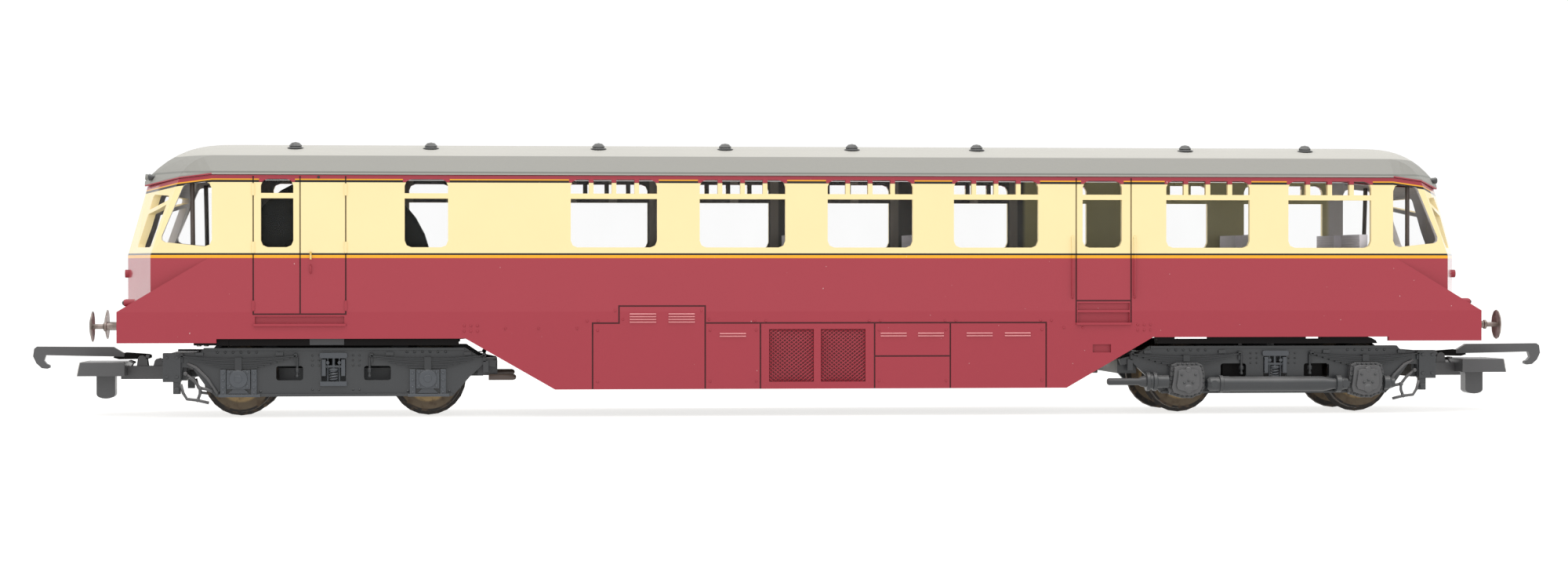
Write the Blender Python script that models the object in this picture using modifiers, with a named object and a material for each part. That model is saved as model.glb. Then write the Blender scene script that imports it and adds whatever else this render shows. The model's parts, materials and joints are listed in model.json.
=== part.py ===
"""A 4 mm scale model of a streamlined diesel railcar with a driving cab at each end.

Metres, with +X along the car towards the trailing bogie, +Y across it and +Z up.
The origin is midway along the car, on its centre line, at the bottom of the wheel flanges.
"""

import math

import bmesh
import bpy
from mathutils import Matrix, Vector

MM = 0.001

# Fits
FIT = 0.2 * MM           # between pieces that seat on each other
RUN = 0.06 * MM          # radial, between a shaft and its hole
STEP = 0.03 * MM         # sets one moulded face back from the next

# Body shell
BODY_WIDTH = 36.0 * MM
WALL = 1.2 * MM
BEAM_X = 125.4 * MM      # front of the buffer beam
BEAM_TOP = 19.07 * MM
SHOULDER_X = 109.2 * MM  # where the lower sides start to slope down to the beam
SHOULDER_Z = 28.75 * MM
VALANCE_Z = 13.45 * MM   # lower edge under the cabs
VALANCE_X = 107.75 * MM
SOLEBAR_Z = 14.2 * MM    # lower edge over the bogies
SKIRT_Z = 4.9 * MM       # lower edge of the deep skirt
SKIRT_X = 47.0 * MM
SKIRT_TOP_X = 63.2 * MM
WAIST_Z = 29.3 * MM
EAVE_Z = 43.7 * MM
NOSE_FOOT_Z = 18.6 * MM
LAMP_RADIUS = 0.75 * MM
LAMP_X = 125.8 * MM

# Cab plan, at the waist and at the eaves
CAB_X = 109.2 * MM
CORNER_X = 119.6 * MM
CORNER_IN = 2.2 * MM     # how far a cab corner stands in from the side
NOSE_X = 125.3 * MM
CAB_EAVE_X = 108.5 * MM
CORNER_EAVE_X = 114.5 * MM
NOSE_EAVE_X = 121.7 * MM
CORNER_EAVE_Z = 43.0 * MM
NOSE_EAVE_Z = 42.0 * MM

# Windows and doors
SILL_Z = 30.7 * MM
HEAD_Z = 43.0 * MM
TRANSOM_LOW = 39.5 * MM
TRANSOM_HIGH = 40.45 * MM
PANE_RADIUS = 1.2 * MM
WINDOW_WIDTH = 15.7 * MM
DIVIDER = 0.83 * MM
TOPLIGHTS = 4
SALOON_WINDOWS = [-36.3 * MM, -12.85 * MM, 10.6 * MM, 33.9 * MM, 73.5 * MM, 96.5 * MM]
GUARD_WINDOW = (-74.1 * MM, -66.3 * MM)
LUGGAGE_WINDOW = (-99.8 * MM, -94.0 * MM)
DOOR_WINDOW = (50.0 * MM, 57.35 * MM)
LUGGAGE_DOORS = (-101.15 * MM, -92.8 * MM, -84.65 * MM)
LUGGAGE_DOOR_FOOT = 18.5 * MM
SALOON_DOOR = (48.8 * MM, 59.06 * MM)
SALOON_DOOR_FOOT = 20.8 * MM
STEP_Z = 16.9 * MM
LEDGE = 0.4 * MM
GROOVE = 0.28 * MM       # width and depth of a panel line

# Roof
CREASE_Z = 47.3 * MM
CREASE_IN = 2.5 * MM
CROWN_Z = 49.75 * MM
ROOF_WALL = 1.0 * MM
GUTTER = 0.3 * MM
GUTTER_TALL = 0.5 * MM
ROOF_END_X = 122.2 * MM
ROOF_BEND_X = 105.0 * MM
CREASE_BEND_X = 107.5 * MM
VENTS_X = [-94.1 * MM, -69.5 * MM, -38.8 * MM, -15.4 * MM, 8.2 * MM, 31.6 * MM, 71.1 * MM, 94.0 * MM]
VENT_Y = 9.2 * MM
FAR_VENT_X = 1.5 * MM
VENT_RADIUS = 1.2 * MM
VENT_TALL = 1.05 * MM

# Underframe and inside
CHASSIS_FLOOR = 14.6 * MM
CHASSIS_THICK = 1.2 * MM
TROUGH_BACK = 3.0 * MM   # how far the trough's slopes stand back from the skirt
RAIL_FOOT = 12.95 * MM
RAIL_IN = 13.4 * MM
WELL_HALF = 15.9 * MM    # half width of the space the motor's turntable swings in
RAIL_NOTCHES = ((67.6 * MM, 74.3 * MM), (92.4 * MM, 95.5 * MM))
RAIL_NOTCH = 13.8 * MM   # top of the rail in its notches
RAIL_SHOULDER = 100.5 * MM
RAIL_END = 106.0 * MM
SKIRT_LIP = 0.6 * MM     # how far the trough stands above the skirt's edge
SEAT_BACK = 1.5 * MM
SEAT_DEEP = 4.6 * MM
CUSHION_Z = 23.5 * MM
AISLE = 5.2 * MM
BALLAST_HALF = 11.0 * MM
BALLAST_TALL = 3.4 * MM
SEAT_TOP = 33.2 * MM
SALOON_FLOOR = 18.0 * MM
GLASS = 0.6 * MM
CAB_GLASS_IN = 0.6 * MM  # clears the twist of the cab's raked walls

# Bogies and wheels
BOGIE_X = 87.0 * MM
WHEELBASE = 34.0 * MM
AXLE_Z = 6.85 * MM
FLANGE_RADIUS = 6.85 * MM
TREAD_RADIUS = 6.25 * MM
WHEEL_WIDTH = 2.8 * MM
BACK_TO_BACK = 14.5 * MM
AXLE_RADIUS = 1.0 * MM
FRAME_Y = 13.4 * MM      # inner face of a side frame
FRAME_THICK = 1.2 * MM
FRAME_TOP = 12.5 * MM
FRAME_FOOT = 3.8 * MM
TURNTABLE_RADIUS = 22.4 * MM
TURNTABLE_LIP = 1.6 * MM
TURNTABLE_HALF = 12.3 * MM
LIP_FOOT = 13.85 * MM
PIVOT_RADIUS = 1.5 * MM
BOLSTER_Z = 9.6 * MM
BEARING_PLAY = 0.2 * MM
GEARBOX_HALF = 3.45 * MM
CARDAN_RADIUS = 1.4 * MM
CARDAN_Z = 5.9 * MM
JOINT_DISC = 1.6 * MM

# Motor and gears
MOTOR_Z = 26.6 * MM
MOTOR_RADIUS = 17.5 * MM
MOTOR_FRONT = -9.0 * MM
MOTOR_BACK = 1.9 * MM
MODULE = 0.5 * MM
PINION_TEETH = 12
IDLER_TEETH = 38
AXLE_TEETH = 20
GEAR_Y = 4.6 * MM
GEAR_WIDTH = 1.6 * MM
CHEEK_THICK = 2.0 * MM
SHAFT_RADIUS = 0.75 * MM
SHAFT_PLAY = 0.1 * MM
PRESS = 0.06 * MM        # hairline left between pressed pieces, so that they stay separate solids
IDLER_PIN = 0.8 * MM
COVER_THICK = 1.0 * MM
RIM = 1.3 * MM           # wall of the motor's can
MAGNET_BORE = 11.2 * MM
ARMATURE_RADIUS = 10.8 * MM
ARMATURE = (-6.6 * MM, 0.2 * MM)
COMMUTATOR = (2.2 * MM, -8.8 * MM, -7.3 * MM)

# Couplings and buffers
HOOK_TIP = 142.0 * MM
HOOK_PIVOT = (121.6 * MM, 10.7 * MM)
LOOP_FRONT = 133.7 * MM
LOOP_WIDTH = 14.0 * MM
BUFFER_Y = 11.4 * MM
BUFFER_Z = 16.35 * MM
BUFFER_RADIUS = 2.75 * MM
BUFFER_LONG = 5.5 * MM
SHANK_Z = (6.5 * MM, 8.9 * MM)
SHANK_HALF = 2.0 * MM
SHANK_END = 126.2 * MM
HOOK_HALF = 0.7 * MM
HOOK_PIN = 0.35 * MM
EAR_THICK = 0.75 * MM

HALF = BODY_WIDTH / 2
INSIDE = HALF - WALL
ROUND = 16               # sides of small round pieces
QUARTER = math.pi / 2
AIM = {
    "+X": (0, QUARTER, 0), "-X": (0, -QUARTER, 0), "+Y": (-QUARTER, 0, 0), "-Y": (QUARTER, 0, 0),
    "+Z": (0, 0, 0)}

FINISHES = {
    "body": ((0.42, 0.035, 0.06), 0.45, 0.0),
    "roof": ((0.33, 0.33, 0.31), 0.55, 0.0),
    "dark_grey": ((0.07, 0.075, 0.085), 0.55, 0.0),
    "black": ((0.02, 0.02, 0.022), 0.5, 0.0),
    "clear": ((0.85, 0.9, 0.9), 0.08, 0.0),
    "seat": ((0.5, 0.5, 0.5), 0.6, 0.0),
    "steel": ((0.5, 0.5, 0.5), 0.35, 1.0),
    "dull_steel": ((0.16, 0.15, 0.14), 0.45, 1.0),
    "brass": ((0.65, 0.48, 0.2), 0.35, 1.0),
    "copper": ((0.5, 0.22, 0.12), 0.4, 1.0),
    "white_plastic": ((0.75, 0.75, 0.7), 0.5, 0.0),
}


def clear_scene():
    for obj in list(bpy.data.objects):
        bpy.data.objects.remove(obj)


def group(name):
    found = bpy.data.collections.new(name)
    bpy.context.scene.collection.children.link(found)
    return found


def finish(name):
    """The material of one finish, made once."""
    if name not in bpy.data.materials:
        colour, roughness, metallic = FINISHES[name]
        made = bpy.data.materials.new(name)
        made.use_nodes = True
        shader = made.node_tree.nodes["Principled BSDF"]
        shader.inputs["Base Color"].default_value = (*colour, 1)
        shader.inputs["Roughness"].default_value = roughness
        shader.inputs["Metallic"].default_value = metallic
    return bpy.data.materials[name]


def add(name, mesh, look=None):
    """An object of the model, or a hidden cutter when it has no finish."""
    obj = bpy.data.objects.new(name, mesh)
    if look:
        PARTS.objects.link(obj)
        mesh.materials.append(finish(look))
    else:
        CUTTERS.objects.link(obj)
        obj.hide_render = True
        obj.display_type = "WIRE"
    return obj


def mesh_from(name, shape):
    mesh = bpy.data.meshes.new(name)
    shape.to_mesh(mesh)
    shape.free()
    return mesh


def block(name, low, high, look=None):
    """A box between two opposite corners."""
    shape = bmesh.new()
    bmesh.ops.create_cube(shape, size=1)
    low = Vector(low)
    high = Vector(high)
    bmesh.ops.scale(shape, vec=high - low, verts=shape.verts)
    bmesh.ops.translate(shape, vec=(low + high) / 2, verts=shape.verts)
    return add(name, mesh_from(name, shape), look)


def drum(name, radius, start, end, look=None, sides=ROUND):
    """A cylinder from one point to another."""
    start = Vector(start)
    line = Vector(end) - start
    shape = bmesh.new()
    turn = line.to_track_quat("Z", "Y").to_matrix().to_4x4()
    bmesh.ops.create_cone(
        shape, cap_ends=True, segments=sides, radius1=radius, radius2=radius, depth=line.length,
        matrix=Matrix.Translation(start + line / 2) @ turn,
    )
    return add(name, mesh_from(name, shape), look)


def slab(name, outlines, low, high, look=None, along="Y"):
    """Flat outlines, XZ along Y or YZ along X, extruded. An outline inside another is a hole."""
    curve = bpy.data.curves.new(name, "CURVE")
    curve.dimensions = "2D"
    curve.fill_mode = "BOTH"
    curve.extrude = (high - low) / 2
    for outline in outlines:
        spline = curve.splines.new("POLY")
        spline.points.add(len(outline) - 1)
        for point, (across, up) in zip(spline.points, outline):
            point.co = (across, up, 0, 1)
        spline.use_cyclic_u = True
    guide = bpy.data.objects.new(name, curve)
    turn = Matrix.Rotation(math.pi / 2, 4, "X")
    middle = Vector((0, (low + high) / 2, 0))
    if along == "X":
        turn = Matrix.Rotation(math.pi / 2, 4, "Z") @ turn
        middle = Vector(((low + high) / 2, 0, 0))
    guide.matrix_world = Matrix.Translation(middle) @ turn
    mesh = bpy.data.meshes.new_from_object(guide)
    mesh.transform(guide.matrix_world)
    bpy.data.objects.remove(guide)
    shape = bmesh.new()
    shape.from_mesh(mesh)
    bmesh.ops.remove_doubles(shape, verts=shape.verts, dist=0.001 * MM)
    bmesh.ops.recalc_face_normals(shape, faces=shape.faces)
    bpy.data.meshes.remove(mesh)
    return add(name, mesh_from(name, shape), look)


def turned(name, profile, centre, aim, look, steps=ROUND):
    """A profile of (radius, height) points, from the top of its outer side down, turned about aim."""
    closed = profile[0][0] > 0 and profile[-1][0] > 0
    shape = bmesh.new()
    points = [shape.verts.new((radius, 0, height)) for radius, height in profile]
    for first, second in zip(points, points[1:] + points[:1] if closed else points[1:]):
        shape.edges.new((first, second))
    obj = add(name, mesh_from(name, shape), look)
    spin = obj.modifiers.new("turn", "SCREW")
    spin.steps = steps
    spin.render_steps = steps
    spin.use_merge_vertices = True
    spin.merge_threshold = 0.001 * MM
    obj.location = centre
    obj.rotation_euler = AIM[aim]
    return obj


def loft(name, rings, look=None):
    """A closed solid through rings of equal count, each cap filled in strips from first to last point."""
    shape = bmesh.new()
    rows = [[shape.verts.new(point) for point in ring] for ring in rings]
    count = len(rows[0])
    for lower, upper in zip(rows, rows[1:]):
        for at in range(count):
            following = (at + 1) % count
            shape.faces.new((lower[at], lower[following], upper[following], upper[at]))
    for row in (rows[0], rows[-1]):
        for at in range((count - 1) // 2):
            corners = [row[at], row[at + 1], row[count - at - 1], row[(count - at) % count]]
            shape.faces.new(list(dict.fromkeys(corners)))
        if count % 2 == 0:
            middle = count // 2
            shape.faces.new((row[middle - 1], row[middle], row[middle + 1]))
    bmesh.ops.recalc_face_normals(shape, faces=shape.faces)
    return add(name, mesh_from(name, shape), look)


def gathered(name, pieces):
    """Several cutters made one mesh of separate bodies."""
    shape = bmesh.new()
    for piece in pieces:
        mesh = piece.data
        shape.from_mesh(mesh)
        bpy.data.objects.remove(piece)
        bpy.data.meshes.remove(mesh)
    return add(name, mesh_from(name, shape))


def join(target, *pieces):
    for piece in pieces:
        change = target.modifiers.new(piece.name, "BOOLEAN")
        change.operation = "UNION"
        change.object = piece


def cut(target, *pieces):
    for piece in pieces:
        change = target.modifiers.new(piece.name, "BOOLEAN")
        change.operation = "DIFFERENCE"
        change.object = piece


def smooth(obj):
    obj.data.shade_smooth()
    obj.data.set_sharp_from_angle(angle=math.radians(35))
    return obj


def pivot(name, place, parent=None):
    """An empty on a joint's axis."""
    empty = bpy.data.objects.new(name, None)
    PARTS.objects.link(empty)
    empty.location = place
    if parent:
        empty.parent = parent
        empty.location = Vector(place) - standing(parent)
    return empty


def standing(empty):
    """The world place of an empty, whose parents only shift it."""
    place = Vector(empty.location)
    while empty.parent:
        empty = empty.parent
        place += empty.location
    return place


def hang(empty, *pieces):
    for piece in pieces:
        piece.parent = empty
        piece.location = Vector(piece.location) - standing(empty)


def both_ways(outline):
    """A right-hand outline, from the middle out and back, with its mirror image."""
    return outline + [(-across, up) for across, up in reversed(outline)]


def rounded(corners, radii, segments=2):
    """A convex outline, anticlockwise, with each corner's own radius."""
    points = []
    count = len(corners)
    for at, radius in enumerate(radii):
        corner = Vector(corners[at])
        if not radius:
            points.append(tuple(corner))
            continue
        before = (Vector(corners[at - 1]) - corner).normalized()
        after = (Vector(corners[(at + 1) % count]) - corner).normalized()
        half_angle = before.angle(after) / 2
        centre = corner + (before + after).normalized() * (radius / math.sin(half_angle))
        first = (corner + before * (radius / math.tan(half_angle))) - centre
        sweep = math.pi - 2 * half_angle
        for step in range(segments + 1):
            turn = Matrix.Rotation(sweep * step / segments, 2)
            points.append(tuple(centre + turn @ first))
    return points


def rectangle(left, right, low, high, radii=(0, 0, 0, 0)):
    return rounded([(left, low), (right, low), (right, high), (left, high)], radii)


def moved_in(ring, inset):
    """A plan outline, anticlockwise, with every side moved in."""
    count = len(ring)
    result = []
    for at, point in enumerate(ring):
        before = (Vector(point[:2]) - Vector(ring[at - 1][:2])).normalized()
        after = (Vector(ring[(at + 1) % count][:2]) - Vector(point[:2])).normalized()
        first = Vector((-before.y, before.x))
        second = Vector((-after.y, after.x))
        middle = (first + second) / (1 + first.dot(second))
        result.append((point[0] + middle.x * inset, point[1] + middle.y * inset, point[2]))
    return result


def cab_ring(side_x, corner_x, nose_x, heights, inset=0):
    """The upper body's plan at one level: nose, corner, side, side, corner, nose and back."""
    half = HALF - STEP
    corner_y = HALF - CORNER_IN
    nose, corner, side = heights
    ring = [
        (nose_x, 0, nose), (corner_x, corner_y, corner), (side_x, half, side),
        (-side_x, half, side), (-corner_x, corner_y, corner), (-nose_x, 0, nose),
        (-corner_x, -corner_y, corner), (-side_x, -half, side),
        (side_x, -half, side), (corner_x, -corner_y, corner),
    ]
    return moved_in(ring, inset) if inset else ring


def cab_rings(inset, foot, lift):
    """The upper body from a foot level up past the waist to the eaves, which can be lifted clear."""
    waist = cab_ring(CAB_X, CORNER_X, NOSE_X, [WAIST_Z] * 3, inset)
    base = [(across, deep, foot) for across, deep, up in waist]
    share = 1 + lift / (EAVE_Z - WAIST_Z)
    eaves = cab_ring(
        CAB_EAVE_X, CORNER_EAVE_X, NOSE_EAVE_X, [NOSE_EAVE_Z, CORNER_EAVE_Z, EAVE_Z], inset)
    top = [tuple(Vector(low) + (Vector(high) - Vector(low)) * share) for low, high in zip(waist, eaves)]
    return [base, waist, top]


def eave_height(x):
    """The top of the body's wall, level along the side and falling to the nose."""
    x = abs(x)
    if x <= CAB_EAVE_X:
        return EAVE_Z
    if x <= CORNER_EAVE_X:
        share = (x - CAB_EAVE_X) / (CORNER_EAVE_X - CAB_EAVE_X)
        return EAVE_Z + (CORNER_EAVE_Z - EAVE_Z) * share
    share = (x - CORNER_EAVE_X) / (NOSE_EAVE_X - CORNER_EAVE_X)
    return CORNER_EAVE_Z + (NOSE_EAVE_Z - CORNER_EAVE_Z) * share


def pane_outlines():
    """Every opening in the body's sides, seen from the side."""
    round_foot = (PANE_RADIUS, PANE_RADIUS, 0, 0)
    round_head = (0, 0, PANE_RADIUS, PANE_RADIUS)
    outlines = []
    spans = [(x - WINDOW_WIDTH / 2, x + WINDOW_WIDTH / 2) for x in SALOON_WINDOWS]
    for left, right in spans + [GUARD_WINDOW, LUGGAGE_WINDOW, DOOR_WINDOW]:
        outlines.append(rectangle(left, right, SILL_Z, TRANSOM_LOW, round_foot))
        if right - left < WINDOW_WIDTH * 0.9:
            outlines.append(rectangle(left, right, TRANSOM_HIGH, HEAD_Z, round_head))
            continue
        light = (WINDOW_WIDTH - (TOPLIGHTS - 1) * DIVIDER) / TOPLIGHTS
        for at in range(TOPLIGHTS):
            start = left + at * (light + DIVIDER)
            radii = (0, 0, PANE_RADIUS * (at == TOPLIGHTS - 1), PANE_RADIUS * (at == 0))
            outlines.append(rectangle(start, start + light, TRANSOM_HIGH, HEAD_Z, radii))
    cab = [
        (CAB_EAVE_X, SILL_Z), (CORNER_X - 1.6 * MM, SILL_Z + 1.0 * MM),
        (CORNER_EAVE_X - 0.9 * MM, HEAD_Z - 1.0 * MM), (CAB_EAVE_X, HEAD_Z - 0.4 * MM),
    ]
    radii = (PANE_RADIUS, 0.8 * MM, 0.8 * MM, PANE_RADIUS)
    outlines.append(rounded(cab, radii))
    mirrored = [(-across, up) for across, up in reversed(cab)]
    outlines.append(rounded(mirrored, tuple(reversed(radii))))
    return outlines


def nose_outlines():
    """The panes of one nose window, seen from the end, on the +Y side: below and above its sloping bar."""
    corner_y = HALF - CORNER_IN
    inner = corner_y * 0.30
    outer = corner_y * 0.89
    bar_inner = SILL_Z + 6.1 * MM
    bar_outer = SILL_Z + 7.7 * MM
    bar = 0.8 * MM
    head = HEAD_Z - 2.6 * MM
    lower = [(inner, SILL_Z), (outer, SILL_Z), (outer - 0.3 * MM, bar_outer), (inner, bar_inner)]
    upper = [
        (inner, bar_inner + bar), (outer - 0.3 * MM, bar_outer + bar),
        (outer - 0.5 * MM, head - 0.4 * MM), (inner, head)]
    return [rounded(lower, (0.6 * MM, 0.9 * MM, 0, 0)), rounded(upper, (0, 0, 0.6 * MM, 0.6 * MM))]


def panel_lines():
    """The grooves of the doors and the skirt's panels: (upright lines, level lines), in X and Z."""
    high = 16.8 * MM
    raised = 19.9 * MM
    top = EAVE_Z - 0.2 * MM
    foot = SKIRT_Z - STEP
    uprights = [(x, LUGGAGE_DOOR_FOOT, top) for x in LUGGAGE_DOORS]
    uprights += [(x, STEP_Z, top) for x in SALOON_DOOR]
    uprights += [(-40.2 * MM, foot, high), (-35.4 * MM, high + GROOVE, raised), (-19.7 * MM, foot, raised)]
    uprights += [(x, foot, high) for x in (-9.6 * MM, 11.4 * MM, 25.4 * MM, 43.2 * MM)]
    levels = [(-40.2 * MM, -35.4 * MM, high), (-35.4 * MM, -19.7 * MM, raised)]
    levels += [(-19.7 * MM, 43.2 * MM, high), (11.4 * MM, 25.4 * MM, 10.7 * MM)]
    levels += [(LUGGAGE_DOORS[0], LUGGAGE_DOORS[2], LUGGAGE_DOOR_FOOT), (*SALOON_DOOR, SALOON_DOOR_FOOT)]
    return uprights, levels


def pockets():
    """Shallow recesses in the lower sides: (left, right, low, high, depth)."""
    left, right = SALOON_DOOR
    return [
        (LUGGAGE_DOORS[0] + GROOVE, LUGGAGE_DOORS[2] - GROOVE, STEP_Z, LUGGAGE_DOOR_FOOT - GROOVE, 0.45 * MM),
        (left + GROOVE, right - GROOVE, STEP_Z, 18.8 * MM, 0.6 * MM),
        (left + GROOVE, right - GROOVE, 19.2 * MM, SALOON_DOOR_FOOT - GROOVE, 0.5 * MM),
        (51.9 * MM, 55.3 * MM, 11.4 * MM, 12.9 * MM, 0.6 * MM),
        (-8.0 * MM, 0.2 * MM, 6.2 * MM, 15.8 * MM, 0.4 * MM),
        (1.5 * MM, 9.7 * MM, 6.2 * MM, 15.8 * MM, 0.4 * MM),
    ]


def side_cutter(name, spans):
    """Boxes sunk into both outer faces: each span is (left, right, low, high, depth)."""
    pieces = []
    for left, right, low, high, deep in spans:
        pieces.append(block(name, (left, HALF - deep, low), (right, HALF + WALL, high)))
        pieces.append(block(name, (left, -HALF - WALL, low), (right, -HALF + deep, high)))
    return gathered(name, pieces)


def body_shell():
    lower = both_ways([
        (SKIRT_X, SKIRT_Z), (SKIRT_TOP_X, SOLEBAR_Z), (VALANCE_X, SOLEBAR_Z), (VALANCE_X, VALANCE_Z),
        (BEAM_X, VALANCE_Z), (BEAM_X, BEAM_TOP), (SHOULDER_X, SHOULDER_Z)])
    body = slab("body_shell", [lower], -HALF, HALF, "body")
    upper = loft("upper_body", cab_rings(0, NOSE_FOOT_Z, 0))
    hollow = both_ways([
        (BEAM_X - WALL, -WALL), (BEAM_X - WALL, BEAM_TOP - WALL / 2),
        (SHOULDER_X, SHOULDER_Z - WALL * 1.3), (SHOULDER_X - WALL, SHOULDER_Z + WALL)])
    lower_space = slab("lower_space", [hollow], -INSIDE, INSIDE)
    upper_space = loft("upper_space", cab_rings(WALL, VALANCE_Z, WALL))
    join(body, upper)
    cut(body, lower_space, upper_space)
    panes = [slab("pane", [outline], -HALF - WALL, HALF + WALL) for outline in pane_outlines()]
    cut(body, gathered("side_windows", panes))
    end_panes = []
    for outline in nose_outlines():
        mirrored = [(-across, up) for across, up in reversed(outline)]
        for shape in (outline, mirrored):
            end_panes.append(slab("pane", [shape], CORNER_EAVE_X - 6 * MM, NOSE_X + WALL, along="X"))
            end_panes.append(slab("pane", [shape], -NOSE_X - WALL, 6 * MM - CORNER_EAVE_X, along="X"))
    cut(body, gathered("nose_windows", end_panes))
    uprights, levels = panel_lines()
    half = GROOVE / 2
    lines = [(x - half, x + half, low, high, GROOVE) for x, low, high in uprights]
    cut(body, side_cutter("upright_lines", lines))
    lines = [(left - half, right + half, z, z + GROOVE, GROOVE - STEP) for left, right, z in levels]
    cut(body, side_cutter("level_lines", lines))
    cut(body, side_cutter("recesses", pockets()))
    ledges = []
    for left, right in ((LUGGAGE_DOORS[0], LUGGAGE_DOORS[2]), SALOON_DOOR):
        for side in (-1, 1):
            inner, outer = sorted((side * (HALF - WALL / 2), side * (HALF + LEDGE)))
            ledges.append(block("ledge", (left, inner, STEP_Z - LEDGE), (right, outer, STEP_Z)))
    join(body, gathered("step_ledges", ledges))
    lamp_z = WAIST_Z - 3.4 * MM
    lamps = [
        drum("lamp", LAMP_RADIUS, (end * (NOSE_X - WALL), 0, lamp_z), (end * LAMP_X, 0, lamp_z), sides=12)
        for end in (-1, 1)]
    join(body, gathered("nose_lamps", lamps))
    return body


def roof_section(x, drop=0, inset=0, foot=None):
    """The roof's outline at one station, from the crown down one side, under and back up the other."""
    along = abs(x)
    eave = eave_height(x) + FIT / 2
    if along <= CAB_EAVE_X:
        gutter = HALF + GUTTER
    elif along <= CORNER_EAVE_X:
        gutter = HALF + GUTTER - CORNER_IN * (along - CAB_EAVE_X) / (CORNER_EAVE_X - CAB_EAVE_X)
    else:
        share = (along - CORNER_EAVE_X) / (ROOF_END_X - CORNER_EAVE_X)
        gutter = (HALF + GUTTER - CORNER_IN) * (1 - share) + GUTTER * share
    lip = eave + GUTTER_TALL
    fall = max(0, along - CREASE_BEND_X) / (CORNER_EAVE_X - CREASE_BEND_X)
    crease = max(CREASE_Z - (CREASE_Z - lip) * min(1, fall ** 2.4), lip + 0.1 * MM)
    crease_y = min(HALF - CREASE_IN, gutter - 0.25 * MM)
    bend = max(0, along - ROOF_BEND_X) / (ROOF_END_X - ROOF_BEND_X)
    crown = CROWN_Z - (CROWN_Z - 42.9 * MM) * bend ** 2.9
    over = [(0, 1), (0.3, 0.91), (0.6, 0.64), (0.85, 0.28)]
    half = [((crease_y - inset) * share, crease + (crown - crease) * rise - drop) for share, rise in over]
    half.append((crease_y - inset, crease - drop))
    half += [(gutter - inset, lip - drop), (gutter - inset, foot or eave)]
    return [(x, -y, z) for y, z in half] + [(x, y, z) for y, z in reversed(half[1:])]


def roof():
    ends = [
        ROOF_BEND_X, CREASE_BEND_X, CAB_EAVE_X, 110.2 * MM, 111.6 * MM, 112.8 * MM, 113.8 * MM,
        CORNER_EAVE_X, 116.2 * MM, 118.0 * MM, 119.6 * MM, 121.0 * MM, ROOF_END_X]
    stations = [-x for x in reversed(ends)] + ends
    outer = loft("roof", [roof_section(x) for x in stations], "roof")
    stations = [x for x in stations if abs(x) < 119 * MM]
    hollow = [roof_section(x, ROOF_WALL, WALL + GUTTER, NOSE_EAVE_Z - WALL) for x in stations]
    cut(outer, loft("roof_space", hollow))
    horns = [
        drum("horn", 0.55 * MM, (end * 120.2 * MM, 0, 43.6 * MM), (end * 122.1 * MM, 0, 43.75 * MM), sides=12)
        for end in (-1, 1)]
    join(outer, gathered("roof_horns", horns))
    return smooth(outer)


def vent(name, x, side):
    """A domed ventilator, tilted to sit on the roof's slope."""
    half = HALF - CREASE_IN
    first = Vector((half * 0.3, CREASE_Z + (CROWN_Z - CREASE_Z) * 0.91))
    second = Vector((half * 0.6, CREASE_Z + (CROWN_Z - CREASE_Z) * 0.64))
    share = (VENT_Y - first.x) / (second.x - first.x)
    height = first.y + (second.y - first.y) * share + FIT / 4
    tilt = math.atan2(second.y - first.y, second.x - first.x)
    profile = [(0, VENT_TALL)]
    for degrees in (55, 15):
        angle = math.radians(degrees)
        profile.append((VENT_RADIUS * math.cos(angle), VENT_TALL * (0.2 + 0.8 * math.sin(angle))))
    profile += [(VENT_RADIUS * 0.9, 0), (0, 0)]
    dome = turned(name, profile, (x, side * VENT_Y, height), "+Z", "dark_grey", 10)
    dome.rotation_euler = (side * tilt, 0, 0)
    return dome


def glazing():
    """Clear strips inside the saloon's sides, and a bent piece inside each cab."""
    face = HALF - WALL - FIT
    low = SILL_Z - 1.1 * MM
    high = EAVE_Z - 0.3 * MM
    end = CAB_EAVE_X - 3.5 * MM
    block("glazing_near", (-end, -face, low), (end, GLASS - face, high), "clear")
    block("glazing_far", (-end, face - GLASS, low), (end, face, high), "clear")
    for name, end in (("cab_glazing_left", -1), ("cab_glazing_right", 1)):
        rings = []
        for height in (low, NOSE_EAVE_Z - 0.8 * MM):
            faces = []
            for inset in (WALL + CAB_GLASS_IN, WALL + CAB_GLASS_IN + GLASS):
                waist, eaves = cab_rings(inset, 0, 0)[1:]
                points = []
                for at in (8, 9, 0, 1, 2):
                    share = (height - WAIST_Z) / (eaves[at][2] - WAIST_Z)
                    point = Vector(waist[at]).lerp(Vector(eaves[at]), share)
                    points.append((end * point.x, end * point.y, height))
                faces.append(points)
            rings.append(faces[0] + faces[1][::-1])
        strip(name, rings)


def strip(name, rings):
    """A bent wall between two like outlines, each out along one face and back along the other."""
    shape = bmesh.new()
    rows = [[shape.verts.new(point) for point in ring] for ring in rings]
    count = len(rows[0])
    for at in range(count):
        following = (at + 1) % count
        shape.faces.new((rows[0][at], rows[0][following], rows[1][following], rows[1][at]))
    for row in rows:
        for at in range(count // 2 - 1):
            shape.faces.new((row[at], row[at + 1], row[count - at - 2], row[count - at - 1]))
    bmesh.ops.recalc_face_normals(shape, faces=shape.faces)
    return add(name, mesh_from(name, shape), "clear")


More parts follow.
